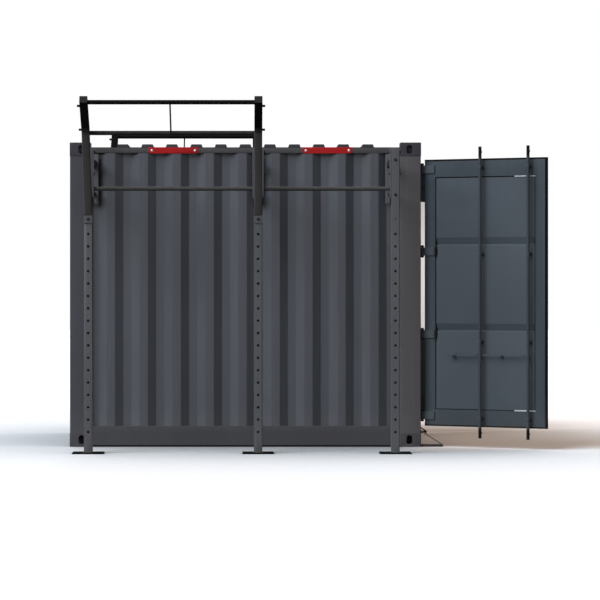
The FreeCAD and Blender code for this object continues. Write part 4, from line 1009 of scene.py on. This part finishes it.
def add_turned(bm, base, out, profile, sides=20):
    """Turn pairs of radius and height round an axis that points out from base."""
    out = out.normalized()
    first = out.orthogonal().normalized() if abs(out.z) > NEARLY_UPRIGHT else Vector((0, 0, 1))
    second = out.cross(first)
    rings = []
    for radius, height in profile:
        if radius == 0:
            rings.append([bm.verts.new(base + out * height)])
            continue
        rings.append([bm.verts.new(p) for p in
                      circle(base + out * height, radius, first, second, sides)])
    for low, high in zip(rings, rings[1:]):
        if len(high) > 1:
            join_rings(bm, low, high)
            continue
        for i in range(sides):
            bm.faces.new((low[i], low[(i + 1) % sides], high[0]))
    bm.faces.new(rings[0][::-1])


print("a round piece has", add_turned.__defaults__[0], "sides")

# %% [markdown]
# The two red plates on each top rail are plain.  Each is held by two domed zinc screws on flat
# washers.  The dome's profile is a quarter of an ellipse, and the CAD screws say where each sits.

# %% Name plates and their screws
WASHER_TALL, DOME_R, DOME_TALL = 0.0016, 0.0085, 0.0062
PLATE_IN = 0.003            # the plates lie this far inside the castings' faces
WASHER = [(0.0100, 0.0), (0.0100, 0.0012), (0.0096, WASHER_TALL), (0.0, WASHER_TALL)]
DOME = [(DOME_R, 0.0010)] + [(DOME_R * math.cos(t), WASHER_TALL + DOME_TALL * math.sin(t))
                             for t in [math.radians(a) for a in range(0, 90, 15)]]
DOME.append((0.0, WASHER_TALL + DOME_TALL))
take_over("sign_plates", "plate red", 0.0006, 0.02, 0.0012)
bm = bmesh.new()
for part in islands("sign_screws"):
    low, high = span(part)
    side = -1 if low.y < 0 else 1
    base = Vector(((low.x + high.x) / 2, side * (HALF_WIDE - PLATE_IN), (low.z + high.z) / 2))
    add_turned(bm, base, Vector((0, side, 0)), WASHER)
    add_turned(bm, base, Vector((0, side, 0)), DOME)
place_piece("sign_screws_domed", bm, "bright zinc", "container", ("sign_screws",))
print("plates", len(islands("sign_plates")), "screws", len(islands("sign_screws")))

# %% [markdown]
# ## Floor
#
# Four thick plywood sheets lie on the cross members.  Rows of countersunk screws fasten them, one
# row over each member.

# %% Floor boards
take_over("floor_boards", "floor ply", 0.0, 0.5, 0.0015)
board_low, board_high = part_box("floor_boards")
SCREWS_PER_ROW = 8
SCREW = [(0.0070, -0.0010), (0.0070, 0.0002), (0.0060, 0.0008), (0.0030, 0.0008),
         (0.0022, -0.0004), (0.0, -0.0004)]
bm = bmesh.new()
rows = [sum(p.x for p in span(member)) / 2 for member in islands("cross_members")]
rows = [x for x in rows if board_low.x < x < board_high.x]
for x in rows:
    for k in range(SCREWS_PER_ROW):
        y = (k - (SCREWS_PER_ROW - 1) / 2) * (board_high.y - board_low.y) / SCREWS_PER_ROW
        add_turned(bm, Vector((x, y, board_high.z)), Vector((0, 0, 1)), SCREW, 12)
place_piece("floor_screws", bm, "bright zinc", "container")
print("floor screws", len(rows) * SCREWS_PER_ROW)

# %% [markdown]
# ## Training rig
#
# The uprights are rolled square tube, whose corners are rounded by about one and a half times the
# wall.  A painted strip slid in behind the peg holes keeps rain and leaves out of the tube, so the
# holes look dark but not black from the front.  The arms are bent from the same kind of tube.
# Round bars keep their roundness from the CAD, and only their ends are softened.

# %% Uprights, arms and bars
CLOSER_BACK, CLOSER_THICK, CLOSER_SIDE, CLOSER_END = 0.0045, 0.003, 0.0055, 0.012


def add_box(bm, low, high):
    """A plain strip between two corners."""
    flat = ((low[0], low[1]), (high[0], low[1]), (high[0], high[1]), (low[0], high[1]))
    low_ring, high_ring = [[bm.verts.new((x, y, z)) for x, y in flat] for z in (low[2], high[2])]
    bm.faces.new(low_ring[::-1])
    bm.faces.new(high_ring)
    join_rings(bm, low_ring, high_ring)


# The stand-off beams and wall ties take the near-black bar paint, which stands partly for the
# shade on their unlit sides.
RIG_PIECES = (("stand_off_beams", "bar black", 0.0005, 0.4, 0.0045),
              ("wall_ties", "bar black", 0.0004, 0.4, 0.0040),
              ("base_plates", "foot black", 0.0006, 0.1, 0.0015),
              ("wall_plates", "bracket grey", 0.0006, 0.05, 0.0020),
              ("bar_brackets", "bracket grey", 0.0006, 0.05, 0.0018),
              ("arm_pads", "upright grey", 0.0006, 0.05, 0.0015),
              ("arms", "arm grey", 0.0006, 0.2, 0.0060),
              ("arm_caps", "cap plastic", 0.0010), ("arm_bolts", "bar black", 0.0012),
              ("brace_rods", "bar black", 0.0008), ("high_bars", "bar black", 0.0006),
              ("low_bars", "bar black", 0.0006), ("pull_up_bars", "grip grey", 0.0006),
              ("ground_stays", "stay brown", 0.0015), ("stay_feet", "foot brown", 0.0020))
take_over("uprights", "upright grey", 0.0006, 0.4, 0.0060)
bm = bmesh.new()
for low, high in map(span, islands("uprights")):
    back, toward = (high.y, -1) if low.y < 0 else (low.y, 1)
    ys = (back + toward * CLOSER_BACK, back + toward * (CLOSER_BACK + CLOSER_THICK))
    add_box(bm, (low.x + CLOSER_SIDE, min(ys), low.z + CLOSER_END),
            (high.x - CLOSER_SIDE, max(ys), high.z - CLOSER_END))
place_piece("upright_closers", bm, "bracket grey", "container")
for piece in RIG_PIECES:
    take_over(*piece)
print("rig pieces taken over:", len(RIG_PIECES) + 1)

# %% [markdown]
# ## Bolts
#
# A bolt's head is a six-sided bar with its corners turned off at an angle, on a thin round washer.
# The CAD bolts say where each one is.  The axis is the direction in which the head is neither as
# wide across its corners nor across its flats, and the head is at the end with the widest ring.

# %% Rig bolts
HEAD_R, HEAD_TALL, SHANK_R = 0.011, 0.007, 0.006
FLAT_TALL, FLAT_LAP, BOLT_EDGE = 0.0018, 0.0002, 0.0004
SAME, WIDER, THROUGH_BOLT = 2e-5, 0.002, 0.05
HEX = [(0.0106, 0.0), (HEAD_R, 0.0006), (HEAD_R, 0.0052), (0.0096, HEAD_TALL), (0.0, HEAD_TALL)]
FLAT = [(0.0132, 0.0), (0.0132, 0.0014), (0.0128, FLAT_TALL), (0.0, FLAT_TALL)]
NUT_END = [(0.0058, 0.0), (0.0058, 0.0108), (0.0048, 0.0122), (0.0, 0.0122)]
bm = bmesh.new()
for part in islands("rig_bolts"):
    low, high = span(part)
    size = high - low
    across = [min(abs(size[i] - 2 * HEAD_R), abs(size[i] - HEAD_R * math.sqrt(3))) < SAME
              for i in range(3)]
    axis = across.index(False)
    lengthwise = Vector([i == axis for i in range(3)])
    middle = (low + high) / 2
    wide = [p for p in part if (p - middle).cross(lengthwise).length > SHANK_R + WIDER]
    head_at = sum(p[axis] for p in wide) / len(wide)
    sign = 1 if head_at > middle[axis] else -1
    out = lengthwise * sign
    seat = middle.copy()
    seat[axis] = (high[axis] if sign > 0 else low[axis]) - sign * HEAD_TALL
    ends = [(seat, out)]
    if size[axis] > THROUGH_BOLT:
        end = middle.copy()
        end[axis] = low[axis] if sign > 0 else high[axis]
        ends.append((end, -out))
        add_turned(bm, end, -out, NUT_END, 16)
    for place, away in ends:
        add_turned(bm, place, away, FLAT)
        add_turned(bm, place + away * (FLAT_TALL - FLAT_LAP), away, HEX, 6)
place_piece("rig_bolts_dressed", bm, "bar black", "container", ("rig_bolts",), BOLT_EDGE)
print("bolts", len(islands("rig_bolts")))

# %% [markdown]
# ## Welds
#
# Where steel meets steel there is a weld, a rope of metal laid in small overlapping ripples.  A
# bead follows the joint as a line.  Rings of points stand along it, every second ring a little
# smaller, and joined together they make the ripples.

# %% A rippled bead
RIPPLE, BEAD_SIDES, DIP = 0.0035, 6, 0.80


def add_bead(bm, path, size, closed=True):
    """A rippled bead of the given radius along a line of points."""
    corners = path + path[:1] if closed else path
    centres = []
    for here, there in zip(corners, corners[1:]):
        count = max(1, round((there - here).length / RIPPLE))
        centres += [here.lerp(there, k / count) for k in range(count)]
    if not closed:
        centres.append(corners[-1])
    rings = []
    for i, centre in enumerate(centres):
        before = centres[i - 1] if closed or i else centre
        after = centres[(i + 1) % len(centres)] if closed or i + 1 < len(centres) else centre
        along = (after - before).normalized()
        first = along.orthogonal().normalized()
        second = along.cross(first)
        radius = size * (1.0 if i % 2 else DIP)
        rings.append([bm.verts.new(p) for p in
                      circle(centre, radius, first, second, BEAD_SIDES)])
    turns = range(BEAD_SIDES)
    for low, high in zip(rings, rings[1:] + rings[:1] if closed else rings[1:]):
        twist = min(turns, key=lambda s: sum((low[k].co - high[(k + s) % BEAD_SIDES].co).length
                                             for k in turns))
        for k in turns:
            bm.faces.new((low[k], low[(k + 1) % BEAD_SIDES], high[(k + 1 + twist) % BEAD_SIDES],
                          high[(k + twist) % BEAD_SIDES]))


print("one ripple is", 2 * RIPPLE * 1000, "mm long")

# %% [markdown]
# A tube is welded along its four sides and a bar all round, so two helpers draw those outlines
# from a part's box.  All beads of one colour are one mesh.

# %% Outlines to weld along
def rectangle(low, high, axis, at):
    """Four corners of a box's outline in the plane square to axis."""
    a, b = [i for i in range(3) if i != axis]
    corners = []
    for u, v in ((low[a], low[b]), (high[a], low[b]), (high[a], high[b]), (low[a], high[b])):
        corner = Vector((0, 0, 0))
        corner[axis], corner[a], corner[b] = at, u, v
        corners.append(corner)
    return corners


def ring_of(low, high, at, steps=20):
    """A circle round a bar that lies along x."""
    middle = Vector((at, (low.y + high.y) / 2, (low.z + high.z) / 2))
    return circle(middle, (high.z - low.z) / 2, Vector((0, 1, 0)), Vector((0, 0, 1)), steps)


print("a tube is welded along", len(rectangle(cad_low, cad_high, 2, 0.0)), "sides and a bar along",
      len(ring_of(cad_low, cad_high, 0.0)), "short ones")

# %% Welds of the rig
FOOT_BEAD, BEAM_BEAD, TIE_BEAD, BAR_BEAD, ARM_BEAD = 0.0034, 0.0030, 0.0026, 0.0026, 0.0030
NEAR_PAD = 1e-3
bm = bmesh.new()
for low, high in map(span, islands("uprights")):
    add_bead(bm, rectangle(low, high, 2, low.z), FOOT_BEAD)
for node, size in (("stand_off_beams", BEAM_BEAD), ("wall_ties", TIE_BEAD)):
    for low, high in map(span, islands(node)):
        add_bead(bm, rectangle(low, high, 1, low.y), size)
        add_bead(bm, rectangle(low, high, 1, high.y), size)
place_piece("upright_welds", bm, "upright grey", "container")
bm = bmesh.new()
for node in ("high_bars", "low_bars", "pull_up_bars"):
    for low, high in map(span, islands(node)):
        add_bead(bm, ring_of(low, high, low.x), BAR_BEAD)
        add_bead(bm, ring_of(low, high, high.x), BAR_BEAD)
pad_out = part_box("arm_pads")[1].y
for part in islands("arms"):
    low, high = span([p for p in part if abs(abs(p.y) - pad_out) < NEAR_PAD])
    add_bead(bm, rectangle(low, high, 1, low.y), ARM_BEAD)
place_piece("arm_welds", bm, "bar black", "container")
print("arm foot", [round(v, 3) for v in high - low])

# %% Welds of the container
LUG_BEAD, RAIL_BEAD = 0.0014, 0.0024
bm = bmesh.new()
for low, high in map(span, islands("hinge_lugs")):
    add_bead(bm, rectangle(low, high, 0, low.x), LUG_BEAD)
for node in ("top_side_rails", "bottom_side_rails"):
    for low, high in map(span, islands(node)):
        out_y = low.y if low.y < 0 else high.y
        for x in (low.x, high.x):
            add_bead(bm, [Vector((x, out_y, z)) for z in (low.z, high.z)], RAIL_BEAD, closed=False)
place_piece("container_welds", bm, "door post grey", "container")
print("container welded")

# %% [markdown]
# ## Studio
#
# The lamps stand well to the left and above.  One very broad sun-like key gives soft edges to
# every shadow: at the wall, a metre behind the bars, their shadows melt away.  The world fills the
# rest dimly, less from the right than from the left, so the folds that face right stay dark.  The
# camera, and anything shiny, sees the world as plain white.

# %% Key light and world
KEY_ENERGY, KEY_COLOUR, KEY_SPREAD = 4.1, (0.93, 1.0, 1.07), math.radians(50)
KEY_GOES = Vector((0.587, 0.492, -0.643))
key_data = bpy.data.lights.new("key", "SUN")
key_data.energy = KEY_ENERGY
key_data.color = KEY_COLOUR
key_data.angle = KEY_SPREAD
key = bpy.data.objects.new("key", key_data)
key.rotation_euler = KEY_GOES.to_track_quat("-Z", "Y").to_euler()
stage.link(key)

FILL_FROM, FILL_COLOUR = (-0.8, -0.3, 0.5), (1.12, 0.94, 0.80, 1)
FACING_AWAY, FACING_IT = -0.6, 0.9
FILL_LEAST, FILL_MOST = 0.03, 0.40
world = bpy.data.worlds.new("studio")
bpy.context.scene.world = world
world.use_nodes = True
tree = world.node_tree
dim = tree.nodes["Background"]
toward = wire(tree, "TexCoord").outputs["Generated"]
lit = remap(tree, dot(tree, toward, FILL_FROM), FACING_AWAY, FACING_IT, FILL_LEAST, FILL_MOST)
fill(tree, dim, {"Strength": lit, "Color": FILL_COLOUR})
white = wire(tree, "Background", {"Color": (1, 1, 1, 1), "Strength": 1.0})


def seen_directly(tree):
    """1 for rays from the camera and through mirrors or glass."""
    path = wire(tree, "LightPath").outputs
    seen = calc(tree, "MAXIMUM", path["Is Camera Ray"], path["Is Glossy Ray"])
    return calc(tree, "MAXIMUM", seen, path["Is Transmission Ray"])


choice = wire(tree, "MixShader", {0: seen_directly(tree), 1: dim.outputs[0], 2: white.outputs[0]})
tree.links.new(choice.outputs[0], tree.nodes["World Output"].inputs[0])
print("key energy", KEY_ENERGY)

# %% [markdown]
# In a studio, black cards stand beside a shiny thing, so that the sides of every fold reflect
# something dark and only its front shines.  One card stands on each side.  They are seen only in
# reflections: they cast no shadow and take no light away from matt surfaces.  A low lamp stands
# between the open doors, flagged off so that it lights only their white liners, which would be
# lost in the dark.

# %% Dark cards and doorway lamp
def studio_piece(name, bm, material):
    """A mesh that belongs to the studio and not to the object."""
    mesh = bpy.data.meshes.new(name)
    bm.to_mesh(mesh)
    bm.free()
    mesh.materials.append(material)
    thing = bpy.data.objects.new(name, mesh)
    stage.link(thing)
    return thing


CARD_OUT, CARD_FRONT, CARD_BACK, CARD_LOW, CARD_HIGH = 6.0, -9.5, 4.0, 0.02, 9.0
FELT = (0.02, 0.02, 0.02, 1)
LAMP_AT, LAMP_AIM = (PIN_X + 0.75, 0.35, 1.45), (PIN_X + 0.10, -PIN_Y, 1.50)
LAMP_SIZE, LAMP_WATTS = (0.6, 1.6), 11.5
bm = bmesh.new()
for out in (-CARD_OUT, CARD_OUT):
    bm.faces.new([bm.verts.new((MID_X + out, y, z)) for y, z in
                  ((CARD_FRONT, CARD_LOW), (CARD_BACK, CARD_LOW), (CARD_BACK, CARD_HIGH),
                   (CARD_FRONT, CARD_HIGH))])
material, tree, felt = new_material("black card")
fill(tree, felt, {"Base Color": FELT, "Specular IOR Level": 0.0})
cards = studio_piece("dark_cards", bm, material)
for ray in ("camera", "diffuse", "shadow", "transmission", "volume_scatter"):
    setattr(cards, "visible_" + ray, False)

lamp_data = bpy.data.lights.new("doorway lamp", "AREA")
lamp_data.shape = "RECTANGLE"
lamp_data.size, lamp_data.size_y = LAMP_SIZE
lamp_data.energy = LAMP_WATTS
lamp = bpy.data.objects.new("doorway_lamp", lamp_data)
lamp.location = LAMP_AT
lamp.rotation_euler = (Vector(LAMP_AIM) - lamp.location).to_track_quat("-Z", "Y").to_euler()
stage.link(lamp)
lamp.light_linking.receiver_collection = liners
print("lamp stands at", [round(v, 2) for v in lamp.location])

# %% [markdown]
# ## Floor
#
# The floor must look white but still take the object's shadow.  The ambient occlusion node says
# how much of the sky each spot sees, and a ramp turns that into a soft cool grey that fades over a
# few metres.  That is steadier than real sky light, which would need many more samples.

# %% Floor's shade
SKY_REACH = 6.0
SKY_SEEN = [(0.0, (0.010, 0.010, 0.010)), (0.30, (0.09, 0.09, 0.095)),
            (0.52, (0.35, 0.365, 0.385)), (0.74, (0.555, 0.575, 0.595)),
            (0.86, (0.77, 0.78, 0.80)), (0.95, (0.89, 0.89, 0.90)), (1.0, (1.0, 1.0, 1.0))]
material, tree, spare = new_material("studio floor")
tree.nodes.remove(spare)
sky = wire(tree, "AmbientOcclusion", {"Distance": SKY_REACH}, samples=16).outputs["AO"]
shade = wire(tree, "ValToRGB", {"Fac": sky})
stops = shade.color_ramp.elements
for i, (seen, tint) in enumerate(SKY_SEEN):
    stop = stops[0] if i == 0 else stops[-1] if i == len(SKY_SEEN) - 1 else stops.new(seen)
    stop.position, stop.color = seen, (*tint, 1)
matt = wire(tree, "BsdfDiffuse", {"Color": shade.outputs["Color"]})
print("the shade fades over", SKY_REACH, "m")

# %% [markdown]
# Behind the open doors, warm light comes through the container, so the floor glows warm there, and
# past the blind end a little cooler.  The glow fades out where hardly any sky is seen.  The floor
# must not throw so much light upwards that undersides shine, so only the camera sees it bright,
# and the light that bounces off it sees a dark grey.

# %% Floor's glow and bounce
PLAIN_GLOW, COOL_GLOW = (0.03, 0.03, 0.03, 1), (0.085, 0.095, 0.110, 1)
WARM_GLOW = (0.285, 0.222, 0.185, 1)
GLOW_FROM, GLOW_FULL = 0.24, 0.42
BOUNCE_GREY = (0.05, 0.048, 0.046, 1)
GLOW_EDGES = (("X", PIN_X - 0.35, PIN_X + 0.10), ("Y", -HALF_WIDE - 1.0, -HALF_WIDE + 0.1),
              ("X", MID_X - HALF_LONG - 0.1, MID_X - HALF_LONG + 0.3))
FLOOR_HALF = 60.0
spot = wire(tree, "SeparateXYZ", {0: own_place(tree)}).outputs
past_end, behind, past_start = [
    remap(tree, spot[axis], start, end, interpolation_type="SMOOTHSTEP")
    for axis, start, end in GLOW_EDGES]
warm = calc(tree, "MULTIPLY", past_end, behind)
light = blend(tree, warm, blend(tree, past_start, COOL_GLOW, PLAIN_GLOW), WARM_GLOW)
glow = wire(tree, "Emission", {"Color": light,
                               "Strength": remap(tree, sky, GLOW_FROM, GLOW_FULL)})
bright = wire(tree, "AddShader", {0: matt.outputs[0], 1: glow.outputs[0]})
bounce = wire(tree, "BsdfDiffuse", {"Color": BOUNCE_GREY})
choice = wire(tree, "MixShader", {0: seen_directly(tree), 1: bounce.outputs[0],
                                  2: bright.outputs[0]})
tree.links.new(choice.outputs[0], tree.nodes["Material Output"].inputs[0])
bm = bmesh.new()
corners = [(-1, -1), (1, -1), (1, 1), (-1, 1)]
bm.faces.new([bm.verts.new((FLOOR_HALF * x, FLOOR_HALF * y, 0)) for x, y in corners])
floor = studio_piece("floor", bm, material)
print("floor is", 2 * FLOOR_HALF, "m across")
